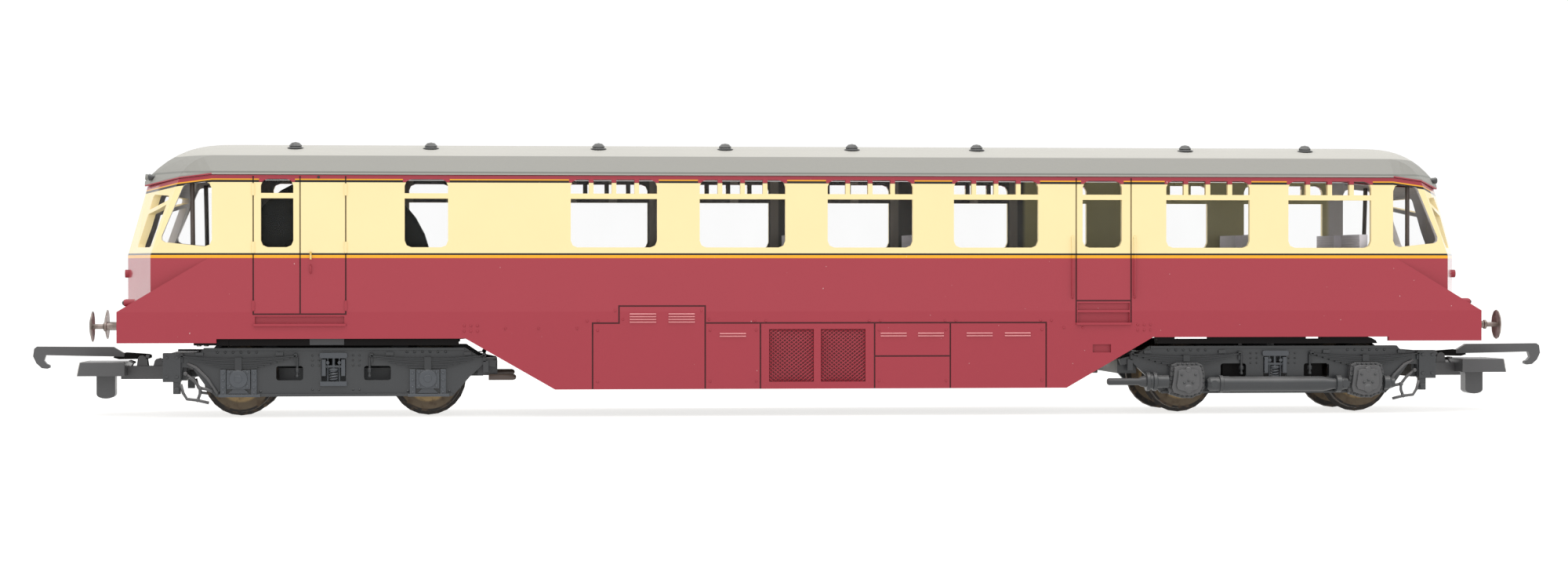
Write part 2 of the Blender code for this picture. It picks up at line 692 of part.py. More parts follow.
def interior():
    """The saloon floor with back-to-back seats at each pier, and the end partition."""
    back = SEAT_BACK
    deep = SEAT_DEEP
    cushion = CUSHION_Z
    piers = [(one + two) / 2 for one, two in zip(SALOON_WINDOWS[:3], SALOON_WINDOWS[1:4])]
    piers += [(SALOON_WINDOWS[4] + SALOON_WINDOWS[5]) / 2]
    left = SALOON_WINDOWS[0] - WINDOW_WIDTH / 2 - 4 * MM
    right = SALOON_WINDOWS[5] + WINDOW_WIDTH / 2
    outline = [(left, SALOON_FLOOR), (right, SALOON_FLOOR)]
    top = SALOON_FLOOR + WALL
    outline += [(right, SEAT_TOP), (right - back, SEAT_TOP), (right - back, cushion)]
    outline += [(right - back - deep, cushion), (right - back - deep, top)]
    for x in reversed(piers):
        half = back + deep
        outline += [(x + half, top), (x + half, cushion), (x + back, cushion), (x + back, SEAT_TOP)]
        outline += [(x - back, SEAT_TOP), (x - back, cushion), (x - half, cushion), (x - half, top)]
    outline += [(left + back + deep, top), (left + back + deep, cushion), (left + back, cushion)]
    outline += [(left + back, SEAT_TOP), (left, SEAT_TOP)]
    edge = INSIDE - 1.4 * MM
    seats = slab("interior", [outline], -edge, edge, "seat")
    cut(seats, block("aisle", (left - WALL, -AISLE / 2, top), (right + WALL, AISLE / 2, EAVE_Z)))
    return seats


def chassis():
    """The underframe: floors over the bogies, a trough between the skirts, and rails beside the wells."""
    floor = CHASSIS_FLOOR
    foot = SKIRT_Z + SKIRT_LIP
    end = BEAM_X - WALL - FIT
    low_x = SKIRT_X - TROUGH_BACK
    high_x = SKIRT_TOP_X - TROUGH_BACK
    under = [(low_x, foot), (high_x, floor), (end, floor)]
    top = floor + CHASSIS_THICK
    above = [(end, top), (high_x - WALL, top), (low_x - WALL, foot + WALL)]
    edge = INSIDE - FIT
    frame = slab("chassis", [both_ways(under + above)], -edge, edge, "black")
    inner = RAIL_IN
    outer = edge - FIT
    left = VALANCE_X - WALL
    right = SKIRT_TOP_X + WALL
    rails = [
        block("rail", (-left, -outer, RAIL_FOOT), (-right, -inner, floor + WALL / 2)),
        block("rail", (-left, inner, RAIL_FOOT), (-right, outer, floor + WALL / 2)),
        slab("rail", [notched_rail(right, floor + WALL / 2)], -outer, -inner)]
    join(frame, gathered("side_rails", rails))
    wells = []
    lip_bore = TURNTABLE_RADIUS + TURNTABLE_LIP + FIT
    for radius, low, high in (
            (TURNTABLE_RADIUS + SHAFT_PLAY, floor - WALL, floor + 2 * WALL), (lip_bore, RAIL_FOOT - FIT, floor)):
        well = drum("motor_well", radius, (-BOGIE_X, 0, low), (-BOGIE_X, 0, high), sides=48)
        keep_between(well, (-BOGIE_X - 2 * radius, -WELL_HALF, 0), (2 * radius - BOGIE_X, WELL_HALF, EAVE_Z))
        wells.append(well)
    cut(frame, *wells)
    hole = PIVOT_RADIUS + RUN
    cut(frame, drum("pivot_hole", hole, (BOGIE_X, 0, floor - WALL), (BOGIE_X, 0, floor + 2 * WALL)))
    return frame


def notched_rail(left, top):
    """The rail beside the trailing bogie: notches under the floor and a rounded outer end."""
    outline = [(left, RAIL_FOOT), (RAIL_END, RAIL_FOOT)]
    rise = CHASSIS_FLOOR - RAIL_FOOT
    for step in range(1, 6):
        angle = QUARTER * step / 5
        across = RAIL_END - (RAIL_END - RAIL_SHOULDER) * (1 - math.cos(angle))
        outline.append((across, RAIL_FOOT + rise * math.sin(angle)))
    outline.append((RAIL_SHOULDER, top))
    for low_x, high_x in reversed(RAIL_NOTCHES):
        outline += [(high_x, top), (high_x, RAIL_NOTCH), (low_x, RAIL_NOTCH), (low_x, top)]
    return outline + [(left, top)]


def keep_between(target, low, high):
    """Only what lies inside a box is left of the piece."""
    change = target.modifiers.new("sides", "BOOLEAN")
    change.operation = "INTERSECT"
    change.object = block(target.name + "_sides", low, high)


def ballast():
    half = SKIRT_X - TROUGH_BACK - 2 * WALL
    foot = SKIRT_Z + SKIRT_LIP + WALL + FIT
    low = (-half, -BALLAST_HALF, foot)
    return block("ballast_weight", low, (half, BALLAST_HALF, foot + BALLAST_TALL), "dull_steel")


def buffer(name, end, side):
    """A fixed buffer: a dished head on a stepped shank."""
    long = BUFFER_LONG
    profile = [
        (0, long), (BUFFER_RADIUS * 0.5, long - 0.12 * MM), (BUFFER_RADIUS, long - 0.5 * MM),
        (BUFFER_RADIUS, long - 0.7 * MM), (0.45 * MM, long - 0.5 * MM),
        (0.45 * MM, 2.9 * MM), (0.65 * MM, 2.8 * MM), (0.65 * MM, 0), (0, 0)]
    aim = "+X" if end > 0 else "-X"
    place = (end * (BEAM_X + FIT / 4), side * BUFFER_Y, BUFFER_Z)
    return turned(name, profile, place, aim, "dull_steel", 12)


def axle(name, place, reach, look="steel"):
    """An axle along Y with coned tips at its reach from the middle."""
    r = AXLE_RADIUS
    cone = 1.0 * MM
    tip = 0.3 * MM
    profile = [(0, reach), (tip, reach), (r, reach - cone), (r, cone - reach), (tip, -reach), (0, -reach)]
    return turned(name, profile, place, "+Y", look, 12)


def wheel(name, place, side):
    """A disc wheel on its axle, flange inwards."""
    bore = AXLE_RADIUS + 0.04 * MM
    face = WHEEL_WIDTH
    profile = [
        (bore, face), (TREAD_RADIUS - 0.1 * MM, face), (TREAD_RADIUS, 0.8 * MM),
        (FLANGE_RADIUS, 0.5 * MM), (FLANGE_RADIUS - 0.15 * MM, 0), (bore, 0)]
    aim = "+Y" if side > 0 else "-Y"
    start = (place[0], side * BACK_TO_BACK / 2, place[2])
    return turned(name, profile, start, aim, "dull_steel", 24)


def wheelset(number, x, parent, reach):
    """An axle and two wheels turning together about the axle's line."""
    place = (x, 0, AXLE_Z)
    spin = pivot(f"wheelset_{number}_spin", place, parent)
    near = wheel(f"wheel_{number}_near", place, -1)
    far = wheel(f"wheel_{number}_far", place, 1)
    hang(spin, axle(f"axle_{number}", place, reach), near, far)
    return spin


def gear_outline(teeth, centre, phase):
    """Straight-flanked teeth, root to tip and back, round a centre in X and Z."""
    pitch_radius = MODULE * teeth / 2
    root = pitch_radius - 1.1 * MODULE
    tip = pitch_radius + 0.75 * MODULE
    pitch = 2 * math.pi / teeth
    points = []
    for tooth in range(teeth):
        for radius, share in ((root, -0.26), (tip, -0.1), (tip, 0.1), (root, 0.26)):
            angle = phase + (tooth + share) * pitch
            points.append((centre[0] + radius * math.cos(angle), centre[1] + radius * math.sin(angle)))
    return points


def circle(radius, centre, sides=ROUND):
    angles = [2 * math.pi * at / sides for at in range(sides)]
    return [(centre[0] + radius * math.cos(angle), centre[1] + radius * math.sin(angle)) for angle in angles]


def gear(name, teeth, centre, phase, bore, look):
    outlines = [gear_outline(teeth, centre, phase), circle(bore, centre)]
    return slab(name, outlines, GEAR_Y, GEAR_Y + GEAR_WIDTH, look)


def meshing_phase(driver, driver_teeth, driver_phase, driven, driven_teeth):
    """The phase that puts the driven gear's gap on the driver's tooth, along their line of centres."""
    line = math.atan2(driven[1] - driver[1], driven[0] - driver[0])
    along = (line - driver_phase) * driver_teeth / (2 * math.pi)
    return line + math.pi - (0.5 - along) * 2 * math.pi / driven_teeth


def gear_places():
    """The centres of the motor shaft, both idlers and both axle gears, in X and Z."""
    motor = Vector((-BOGIE_X, MOTOR_Z))
    upper = MODULE * (PINION_TEETH + IDLER_TEETH) / 2
    lower = MODULE * (IDLER_TEETH + AXLE_TEETH) / 2
    idlers = []
    axles = []
    for side in (-1, 1):
        axle_place = Vector((side * WHEELBASE / 2 - BOGIE_X, AXLE_Z))
        line = axle_place - motor
        along = (upper ** 2 - lower ** 2 + line.length_squared) / (2 * line.length)
        off = math.sqrt(upper ** 2 - along ** 2)
        across = Vector((-line.y, line.x)).normalized() * side
        idlers.append(motor + line.normalized() * along + across * off)
        axles.append(axle_place)
    return motor, idlers, axles


def side_frame_outline(outward):
    """A bogie side frame, from the inner end round by the bottom, as offsets from the bogie's centre."""
    half = WHEELBASE / 2
    inner = [(-11.4, 8.5), (-8.6, 7.8), (-6.6, 5.8)]
    headstock = [(8.2, 8.6), (9.6, 8.6), (9.6, 6.4), (13.4, 6.4), (13.4, 11.5), (4.0, 11.5)]
    points = [(across * MM - half, up * MM) for across, up in inner]
    points += [(-half - 4.6 * MM, FRAME_FOOT), (half + 4.2 * MM, FRAME_FOOT), (half + 6.6 * MM, 6.4 * MM)]
    points += [(across * MM + half, up * MM) for across, up in headstock]
    points += [(half + 3.6 * MM, FRAME_TOP), (-half - 7.4 * MM, FRAME_TOP), (-half - 11.4 * MM, 10.3 * MM)]
    return [(outward * across, up) for across, up in points]


def side_frame(name, centre, outward, side, geared):
    """A side frame with slots, springs and axleboxes, or gearboxes where it is geared."""
    inner = FRAME_Y
    outer = FRAME_Y + FRAME_THICK

    def span(low, high):
        return sorted((side * low, side * high))

    low, high = span(inner, outer)
    outline = [(centre + across, up) for across, up in side_frame_outline(outward)]
    frame = slab(name, [outline], low, high, "dark_grey")
    openings = [
        rectangle(centre + middle - 2.3 * MM, centre + middle + 2.3 * MM, 6.9 * MM, 9.3 * MM, [0.5 * MM] * 4)
        for middle in (-7.8 * MM, 7.8 * MM)]
    openings.append(rectangle(centre - 2.1 * MM, centre + 2.1 * MM, 6.3 * MM, 11.2 * MM, [0.6 * MM] * 4))
    slots = [slab("slot", [shape], low - WALL, high + WALL) for shape in openings]
    cut(frame, gathered(name + "_slots", slots))
    extras = []
    wheel_places = [centre - WHEELBASE / 2, centre + WHEELBASE / 2]
    for number, x in enumerate(wheel_places):
        low, high = span(outer - 0.5 * MM, outer + 0.7 * MM)
        leaves = [(-9.5, 10.7), (-1.5, 9.0), (1.5, 9.0), (9.5, 10.7), (9.5, 11.0), (-9.5, 11.0)]
        leaves = [(x + across * MM, up * MM) for across, up in leaves]
        extras.append(slab(f"{name}_spring_{number}", [leaves], low, high))
        if geared:
            box = rectangle(x - GEARBOX_HALF, x + GEARBOX_HALF, 2.8 * MM, 9.2 * MM, [1.4 * MM] * 4)
            low, high = span(outer - 0.6 * MM, outer + 3.0 * MM)
        else:
            box = rectangle(x - 2.1 * MM, x + 2.1 * MM, 5.2 * MM, 8.7 * MM)
            low, high = span(outer - 0.6 * MM, outer + 1.3 * MM)
        extras.append(slab(f"{name}_box_{number}", [box], low, high))
    join(frame, *extras)
    start = side * (inner - WALL)
    end = side * (inner + FRAME_THICK / 2)
    hole = AXLE_RADIUS + BEARING_PLAY
    bearings = [drum("bearing", hole, (x, start, AXLE_Z), (x, end, AXLE_Z)) for x in wheel_places]
    cut(frame, gathered(name + "_bearings", bearings))
    return frame


def box_between(name, first, second, look=None):
    """A box between any two opposite corners."""
    low = tuple(min(pair) for pair in zip(first, second))
    high = tuple(max(pair) for pair in zip(first, second))
    return block(name, low, high, look)


def hook_outline(end):
    """The hook, from its lower corner at the pin up, along the arm and round the nose."""
    pin_x, pin_z = HOOK_PIVOT
    arm_low = pin_z - 0.6 * MM
    arm_high = pin_z + 1.8 * MM
    shoulder = pin_x + 5.7 * MM
    points = [(pin_x - 0.9 * MM, arm_low), (pin_x - 0.9 * MM, pin_z + 0.5 * MM), (shoulder, pin_z + 0.6 * MM)]
    points += [(shoulder, arm_high - 0.1 * MM), (HOOK_TIP, arm_high)]
    nose = [(0.5, 1.5), (0.6, 0.2), (-0.4, -1.7), (-1.4, -2.4), (-2.4, -2.35), (-2.6, -1.8), (-1.6, -1.5)]
    nose += [(-1.0, -0.9), (-1.3, 0.0)]
    points += [(HOOK_TIP + across * MM, pin_z + up * MM) for across, up in nose]
    points += [(pin_x + 8.4 * MM, pin_z + 0.05 * MM), (pin_x + 7.4 * MM, arm_low)]
    return [(end * across, up) for across, up in points]


def coupling(prefix, end, parent):
    """A tension-lock coupling: a loop bar fixed to the bogie, and a hook that lifts on its pin."""
    pin_x, pin_z = HOOK_PIVOT
    foot, top = SHANK_Z
    back = BOGIE_X + WHEELBASE / 2 + 13.6 * MM
    start = (end * back, -SHANK_HALF, foot)
    shank = box_between(prefix + "_coupling_bar", start, (end * SHANK_END, SHANK_HALF, top), "black")
    loop = [(SHANK_END - 1 * MM, 7.2 * MM), (LOOP_FRONT, 7.2 * MM)]
    loop += [(LOOP_FRONT - 0.5 * MM, 9.7 * MM), (SHANK_END - 1 * MM, 9.7 * MM)]
    drop = [(127.5, 8.0), (127.5, 3.6), (128.2, 3.1), (129.2, 2.9), (130.2, 3.1), (130.9, 3.6), (130.9, 8.0)]
    head = slab(prefix + "_loop", [[(end * x, z) for x, z in loop]], -LOOP_WIDTH / 2, LOOP_WIDTH / 2)
    dropper = slab(prefix + "_dropper", [[(end * x * MM, z * MM) for x, z in drop]], -1.6 * MM, 1.6 * MM)
    ear = HOOK_HALF + FIT + STEP
    ears = []
    for side in (-1, 1):
        low = (end * (pin_x - 0.9 * MM), side * ear, foot + 1.5 * MM)
        high = (end * (pin_x + 0.9 * MM), side * (ear + EAR_THICK), pin_z + 0.9 * MM)
        ears.append(box_between("ear", low, high))
    reach = ear + EAR_THICK / 2
    ends = [(end * pin_x, y, pin_z) for y in (-reach, reach)]
    pin = drum(prefix + "_hook_pin", HOOK_PIN, *ends, sides=12)
    join(shank, head, dropper, gathered(prefix + "_ears", ears), pin)
    eye = circle(HOOK_PIN + RUN + STEP, (end * pin_x, pin_z), 12)
    hook = slab(prefix + "_hook", [hook_outline(end), eye], -HOOK_HALF, HOOK_HALF, "black")
    lift = pivot(prefix + "_hook_lift", (end * pin_x, 0, pin_z), parent)
    hang(lift, hook)
    hang(parent, shank)


def cross_beams(name, centre):
    """The frame's inner end and its headstock, reaching to the side frames."""
    reach = FRAME_Y - FIT
    outward = 1 if centre > 0 else -1
    inner_end = ((-29.6, 7.4), (-26.0, 10.0))
    headstock = ((26.4, 6.6), (30.2, 11.3))
    beams = []
    for (start, low), (stop, high) in (inner_end, headstock):
        first = (centre + outward * start * MM, -reach, low * MM)
        beams.append(box_between(name, first, (centre + outward * stop * MM, reach, high * MM)))
    return beams


def motor_frame(motor, idlers, axles):
    """The gear cheek, the near cheek and what ties them, bored for the shafts and pinned for the idlers."""
    x = motor.x
    cheek_high = GEAR_Y - FIT * 2
    cheek_low = cheek_high - CHEEK_THICK
    near = (-6.4 * MM, -4.4 * MM)
    right = [(20.5, 4.4), (20.5, 11.0), (15.5, 16.0), (15.5, 24.0), (6.0, 34.0)]
    cheek = both_ways([(across * MM, up * MM) for across, up in right])
    outline = [(x + across, up) for across, up in cheek]
    frame = slab("motor_bogie_frame", [outline], cheek_low, cheek_high, "dark_grey")
    half = 20.5 * MM
    near_cheek = slab("motor_cheek_near", [rectangle(x - half, x + half, 4.4 * MM, 8.6 * MM)], *near)
    half = 8 * MM
    tie = block("motor_tie", (x - half, near[0] + 1 * MM, 4.9 * MM), (x + half, cheek_low + 1 * MM, 7.4 * MM))
    ties = []
    for end in (-1, 1):
        low = (x + end * 18.9 * MM, near[1] - 0.5 * MM, 6.9 * MM)
        ties.append(box_between("link", low, (x + end * 20.2 * MM, cheek_high - 0.5 * MM, 8.2 * MM)))
    spines = [
        block("spine", (x - 29.9 * MM, -3.9 * MM, 7.0 * MM), (x - 19.2 * MM, 1.9 * MM, 8.1 * MM)),
        block("spine", (x + 19.2 * MM, -3.9 * MM, 7.0 * MM), (x + 27.0 * MM, 1.9 * MM, 8.1 * MM))]
    join(frame, near_cheek, tie, gathered("motor_links", ties), gathered("motor_spines", spines))
    start = cheek_high - 0.5 * MM
    end = GEAR_Y + GEAR_WIDTH + SHAFT_PLAY
    pins = [drum("pin", IDLER_PIN, (at.x, start, at.y), (at.x, end, at.y)) for at in idlers]
    join(frame, gathered("motor_beams", cross_beams("motor_beam", x)), gathered("idler_pins", pins))
    deep = 8 * MM
    bores = [
        drum("bore", AXLE_RADIUS + SHAFT_PLAY, (at.x, -deep, at.y), (at.x, deep, at.y)) for at in axles]
    bores.append(drum("bore", SHAFT_RADIUS + SHAFT_PLAY, (x, 0, motor.y), (x, deep, motor.y)))
    cut(frame, gathered("frame_bores", bores))
    return frame


def motor_body(motor):
    """The motor's can, ring magnet, brush cover and brushes."""
    place = (motor.x, 0, motor.y)
    hole = SHAFT_RADIUS + SHAFT_PLAY
    inside = MOTOR_RADIUS - RIM
    case = turned("motor_case", [
        (MOTOR_RADIUS, MOTOR_BACK), (MOTOR_RADIUS, MOTOR_FRONT), (inside, MOTOR_FRONT),
        (inside, MOTOR_BACK - WALL), (hole, MOTOR_BACK - WALL), (hole, MOTOR_BACK)], place, "+Y", "black", 32)
    low, high = ARMATURE
    low -= FIT
    high += FIT
    ring = [(inside - FIT, high), (inside - FIT, low), (MAGNET_BORE, low), (MAGNET_BORE, high)]
    magnet = turned("ring_magnet", ring, place, "+Y", "dull_steel", 24)
    front = MOTOR_FRONT - FIT
    back = front - COVER_THICK
    ends = [(motor.x, y, motor.y) for y in (back, front)]
    cover = drum("brush_cover", MOTOR_RADIUS - RIM / 2, *ends, "black", 32)
    cut(cover, drum("cover_hole", hole, (motor.x, back - WALL, motor.y), (motor.x, front + WALL, motor.y)))
    brushes = []
    radius = COMMUTATOR[0] + FIT
    for name, up in (("brush_upper", 1), ("brush_lower", -1)):
        near = (motor.x - 0.8 * MM, MOTOR_FRONT + SHAFT_PLAY, motor.y + up * radius)
        away = (motor.x + 0.8 * MM, COMMUTATOR[2], motor.y + up * (radius + 4 * MM))
        brushes.append(box_between(name, near, away, "copper"))
    return [case, magnet, cover, *brushes]


def armature(motor, spin, pinion_phase):
    """The shaft with its commutator, the three-pole core and the pinion."""
    end = GEAR_Y + GEAR_WIDTH + SHAFT_PLAY
    radius, low, high = COMMUTATOR
    tip = MOTOR_FRONT - FIT - COVER_THICK - 2 * FIT
    profile = [(0, end), (SHAFT_RADIUS, end), (SHAFT_RADIUS, high + SHAFT_PLAY), (radius, high), (radius, low)]
    profile += [(SHAFT_RADIUS, low - SHAFT_PLAY), (SHAFT_RADIUS, tip), (0, tip)]
    shaft = turned("armature_shaft", profile, (motor.x, 0, motor.y), "+Y", "steel", 12)
    full = ARMATURE_RADIUS
    pole = [(full * 0.95, -48), (full * 0.98, -24), (full, 0), (full * 0.98, 24), (full * 0.95, 48)]
    pole += [(full * 0.78, 46), (full * 0.28, 60), (full * 0.78, 74)]
    outline = []
    for number in range(3):
        for reach, degrees in pole:
            angle = math.radians(90 + 120 * number + degrees)
            outline.append((motor.x + reach * math.cos(angle), motor.y + reach * math.sin(angle)))
    bore = SHAFT_RADIUS + PRESS
    core = slab("armature_core", [outline, circle(bore, motor, 12)], *ARMATURE, "copper")
    hang(spin, shaft, core, gear("motor_pinion", PINION_TEETH, motor, pinion_phase, bore, "brass"))


def turntable(x, back, front):
    """The plate that turns in the chassis' well, with a lip under the floor and a gap for the motor."""
    floor = CHASSIS_FLOOR
    ends = [(x, 0, floor - FIT), (x, 0, floor + 1.5 * MM)]
    table = drum("motor_turntable", TURNTABLE_RADIUS, *ends, "dark_grey", 48)
    lip = TURNTABLE_RADIUS + TURNTABLE_LIP
    join(table, drum("turntable_lip", lip, (x, 0, LIP_FOOT), (x, 0, floor - FIT / 2), sides=48))
    low = floor - 3 * WALL
    high = floor + 3 * WALL
    keep_between(table, (x - 2 * lip, -TURNTABLE_HALF, low), (x + 2 * lip, TURNTABLE_HALF, high))
    reach = MOTOR_RADIUS + 3.1 * MM
    cut(table, block("turntable_gap", (x - reach, back, low), (x + reach, front, high)))
    return table


def motor_bogie(parent):
    """The powered bogie: frame, motor, gears, wheels and side frames."""
    x = -BOGIE_X
    motor, idlers, axles = gear_places()
    frame = motor_frame(motor, idlers, axles)
    plate_low = GEAR_Y + GEAR_WIDTH + FIT
    right = [(12.5, 10.6), (13.8, 16.0), (13.5, 24.0), (4.5, 31.0)]
    plate = [(x + across, up) for across, up in both_ways([(across * MM, up * MM) for across, up in right])]
    cover = slab("gear_cover", [plate], plate_low, plate_low + WALL / 2, "dark_grey")
    table = turntable(x, MOTOR_FRONT - COVER_THICK - 2 * FIT, plate_low + 0.9 * MM)
    spin = pivot("armature_spin", (motor.x, 0, motor.y), parent)
    direction = idlers[0] - motor
    pinion_phase = math.atan2(direction.y, direction.x)
    armature(motor, spin, pinion_phase)
    idler_bore = IDLER_PIN + RUN + STEP
    for number, (idler, place) in enumerate(zip(idlers, axles), 1):
        phase = meshing_phase(motor, PINION_TEETH, pinion_phase, idler, IDLER_TEETH)
        turn = pivot(f"idler_{number}_spin", (idler.x, 0, idler.y), parent)
        hang(turn, gear(f"idler_gear_{number}", IDLER_TEETH, idler, phase, idler_bore, "white_plastic"))
        axle_phase = meshing_phase(idler, IDLER_TEETH, phase, place, AXLE_TEETH)
        bore = AXLE_RADIUS + PRESS
        drive = gear(f"axle_gear_{number}", AXLE_TEETH, place, axle_phase, bore, "white_plastic")
        wheels = wheelset(number, place.x, parent, BACK_TO_BACK / 2 + WHEEL_WIDTH + WALL)
        hang(wheels, drive)
    frames = [side_frame("motor_side_near", x, -1, -1, False), side_frame("motor_side_far", x, -1, 1, False)]
    hang(parent, frame, cover, table, *motor_body(motor), *frames)
    coupling("motor_end", -1, parent)


def trailing_bogie(parent):
    """The unpowered bogie, turning on a pin under the chassis."""
    x = BOGIE_X
    low = BOLSTER_Z
    high = low + 1.6 * MM
    edge = FRAME_Y - FIT - STEP
    corners = [(x - 27.5 * MM, -6.4 * MM, low), (x + 28.0 * MM, 6.4 * MM, high)]
    frame = block("trailing_bogie_frame", *corners, "dark_grey")
    bolster = block("trailing_bolster", (x - 4.5 * MM, -edge, low + STEP), (x + 4.5 * MM, edge, high - STEP))
    boss = drum("trailing_boss", 3.4 * MM, (x, 0, low + STEP), (x, 0, CHASSIS_FLOOR - FIT / 2))
    join(frame, bolster, boss, gathered("trailing_beams", cross_beams("trailing_beam", x)))
    cut(frame, drum("pin_hole", PIVOT_RADIUS + SHAFT_PLAY, (x, 0, low - WALL), (x, 0, CHASSIS_FLOOR + WALL)))
    for number, side in ((3, -1), (4, 1)):
        wheelset(number, x + side * WHEELBASE / 2, parent, FRAME_Y + 2 * FIT)
    near = side_frame("trailing_side_near", x, 1, -1, True)
    far = side_frame("trailing_side_far", x, 1, 1, False)
    y = -FRAME_Y - FRAME_THICK - JOINT_DISC - FIT / 2
    half = WHEELBASE / 2
    gap = GEARBOX_HALF + FIT
    profile = [
        (0, half - gap), (1.0 * MM, half - gap), (1.0 * MM, half - 5.2 * MM), (JOINT_DISC, half - 5.3 * MM),
        (JOINT_DISC, half - 6.6 * MM), (CARDAN_RADIUS, half - 7.6 * MM)]
    profile += [(radius, -height) for radius, height in reversed(profile)]
    cardan = turned("cardan_shaft", profile, (x, y, CARDAN_Z), "+X", "dark_grey")
    drive = turned("drive_shaft", [
        (0, WALL), (1.0 * MM, WALL), (1.0 * MM, -1.6 * MM), (JOINT_DISC, -1.7 * MM), (JOINT_DISC, -3.0 * MM),
        (1.0 * MM, -4.4 * MM), (0.6 * MM, -8.4 * MM), (0.6 * MM, -11.6 * MM), (0, -12.0 * MM)],
        (x - half - gap, y, CARDAN_Z + 0.5 * MM), "+X", None)
    join(near, drive)
    hang(parent, frame, near, far, cardan)
    coupling("trailing_end", 1, parent)


def pivot_pin():
    """The headed pin that carries the trailing bogie."""
    head = BOLSTER_Z - FIT
    top = CHASSIS_FLOOR + 1.5 * MM
    foot = head - 0.8 * MM
    flange = 2.6 * MM
    profile = [(0, top), (PIVOT_RADIUS, top), (PIVOT_RADIUS, head), (flange, head), (flange, foot), (0, foot)]
    return turned("pivot_pin", profile, (BOGIE_X, 0, 0), "+Z", "steel")


def main():
    body_shell()
    roof()
    for number, x in enumerate(VENTS_X, 1):
        vent(f"roof_vent_{number}", x, -1)
    vent("roof_vent_far", FAR_VENT_X, 1)
    glazing()
    interior()
    chassis()
    ballast()
    for side_name, side in (("near", -1), ("far", 1)):
        buffer(f"buffer_left_{side_name}", -1, side)
        buffer(f"buffer_right_{side_name}", 1, side)
    pivot_pin()
    motor_bogie(pivot("motor_bogie_pivot", (-BOGIE_X, 0, CHASSIS_FLOOR)))
    trailing_bogie(pivot("trailing_bogie_pivot", (BOGIE_X, 0, CHASSIS_FLOOR)))


clear_scene()
PARTS = group("railcar")
CUTTERS = group("cutters")
main()
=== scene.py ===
"""The visible model of the railcar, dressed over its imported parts."""

import json
import math

import bmesh
import bpy
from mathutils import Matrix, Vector
from mathutils.geometry import tessellate_polygon


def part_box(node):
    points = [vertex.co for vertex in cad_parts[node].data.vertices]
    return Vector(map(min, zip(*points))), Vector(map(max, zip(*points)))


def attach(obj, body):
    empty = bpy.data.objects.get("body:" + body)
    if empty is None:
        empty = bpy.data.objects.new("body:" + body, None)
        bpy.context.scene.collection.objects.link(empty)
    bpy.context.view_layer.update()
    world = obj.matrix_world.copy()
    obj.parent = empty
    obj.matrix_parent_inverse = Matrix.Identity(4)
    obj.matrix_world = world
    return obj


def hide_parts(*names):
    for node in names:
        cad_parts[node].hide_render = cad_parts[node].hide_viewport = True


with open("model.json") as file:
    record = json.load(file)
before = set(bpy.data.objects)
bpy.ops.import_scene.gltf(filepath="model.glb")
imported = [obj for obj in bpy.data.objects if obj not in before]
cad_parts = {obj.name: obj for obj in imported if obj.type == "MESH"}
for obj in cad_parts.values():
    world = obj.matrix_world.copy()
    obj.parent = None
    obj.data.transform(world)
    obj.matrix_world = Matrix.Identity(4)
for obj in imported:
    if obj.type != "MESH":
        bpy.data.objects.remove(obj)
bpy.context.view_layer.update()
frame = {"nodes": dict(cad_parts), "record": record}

MM = 0.001

# Driving sizes in millimetres, with z from the bottom of the wheel flanges
HALF = 18.0              # half width of the body
WAIST = 29.3
EAVE = 43.7
CAB_START = 108.5        # where the side turns in round a cab
NOSE_START = 114.5
BOGIE_X = 87.0
WHEEL_OFF = 17.0         # from a bogie's centre to each of its axles
AXLE_Z = 6.85
FRAME_IN = 13.4          # side frames, measured out from the centre line
FRAME_OUT = 14.6
CARDAN_Z = 5.45
SALOON_WINDOWS = (-36.3, -12.85, 10.6, 33.9, 73.5, 96.5)
WINDOW_WIDTH = 15.7
WINDOW_SPANS = ((-99.8, -94.0), (-74.1, -66.3), (50.0, 57.35)) + tuple(
    (centre - WINDOW_WIDTH / 2, centre + WINDOW_WIDTH / 2) for centre in SALOON_WINDOWS)
LUGGAGE_DOORS = (-101.15, -84.65)
GRILLES = ((-8.0, 0.2), (1.5, 9.7))
GRILLE_Z = (6.2, 15.8)
GRILLE_BACK = 17.6
MESH_PITCH = (0.84, 0.68)  # one diamond across and down
SIDES = {"near": -1, "far": 1}
BUFFER_Y = 11.4
BUFFER_Z = 16.35
LAMP_Y = 13.2
LAMP_Z = 20.65
SHAFT_Y = -16.3          # the drive shafts run on the near side only


def srgb(red, green, blue):
    """A linear colour from its 0 to 255 display values."""
    def linear(value):
        value /= 255
        return value / 12.92 if value <= 0.04045 else ((value + 0.055) / 1.055) ** 2.4
    return (linear(red), linear(green), linear(blue), 1.0)


class Value:
    """A number out of a node. Arithmetic on it adds Math nodes."""

    def __init__(self, finish, socket):
        self.finish = finish
        self.socket = socket

    def math(self, operation, *others):
        return self.finish.calculate(operation, self, *others)

    def __add__(self, other):
        return self.math("ADD", other)

    def __sub__(self, other):
        return self.math("SUBTRACT", other)

    def __mul__(self, other):
        return self.math("MULTIPLY", other)

    def __radd__(self, other):
        return self.math("ADD", other)

    def __rmul__(self, other):
        return self.math("MULTIPLY", other)

    def __rsub__(self, other):
        return self.finish.calculate("SUBTRACT", other, self)

    def __abs__(self):
        return self.math("ABSOLUTE")

    def above(self, edge, soft=0.02):
        """1 above the edge and 0 below it, over a blend of twice soft."""
        ramp = self.finish.node(
            "ShaderNodeMapRange", {"interpolation_type": "SMOOTHSTEP"},
            {"Value": self, "From Min": edge - soft, "From Max": edge + soft})
        return Value(self.finish, ramp.outputs["Result"])

    def below(self, edge, soft=0.02):
        return 1.0 - self.above(edge, soft)

    def between(self, low, high, soft=0.02):
        return self.above(low, soft) * self.below(high, soft)


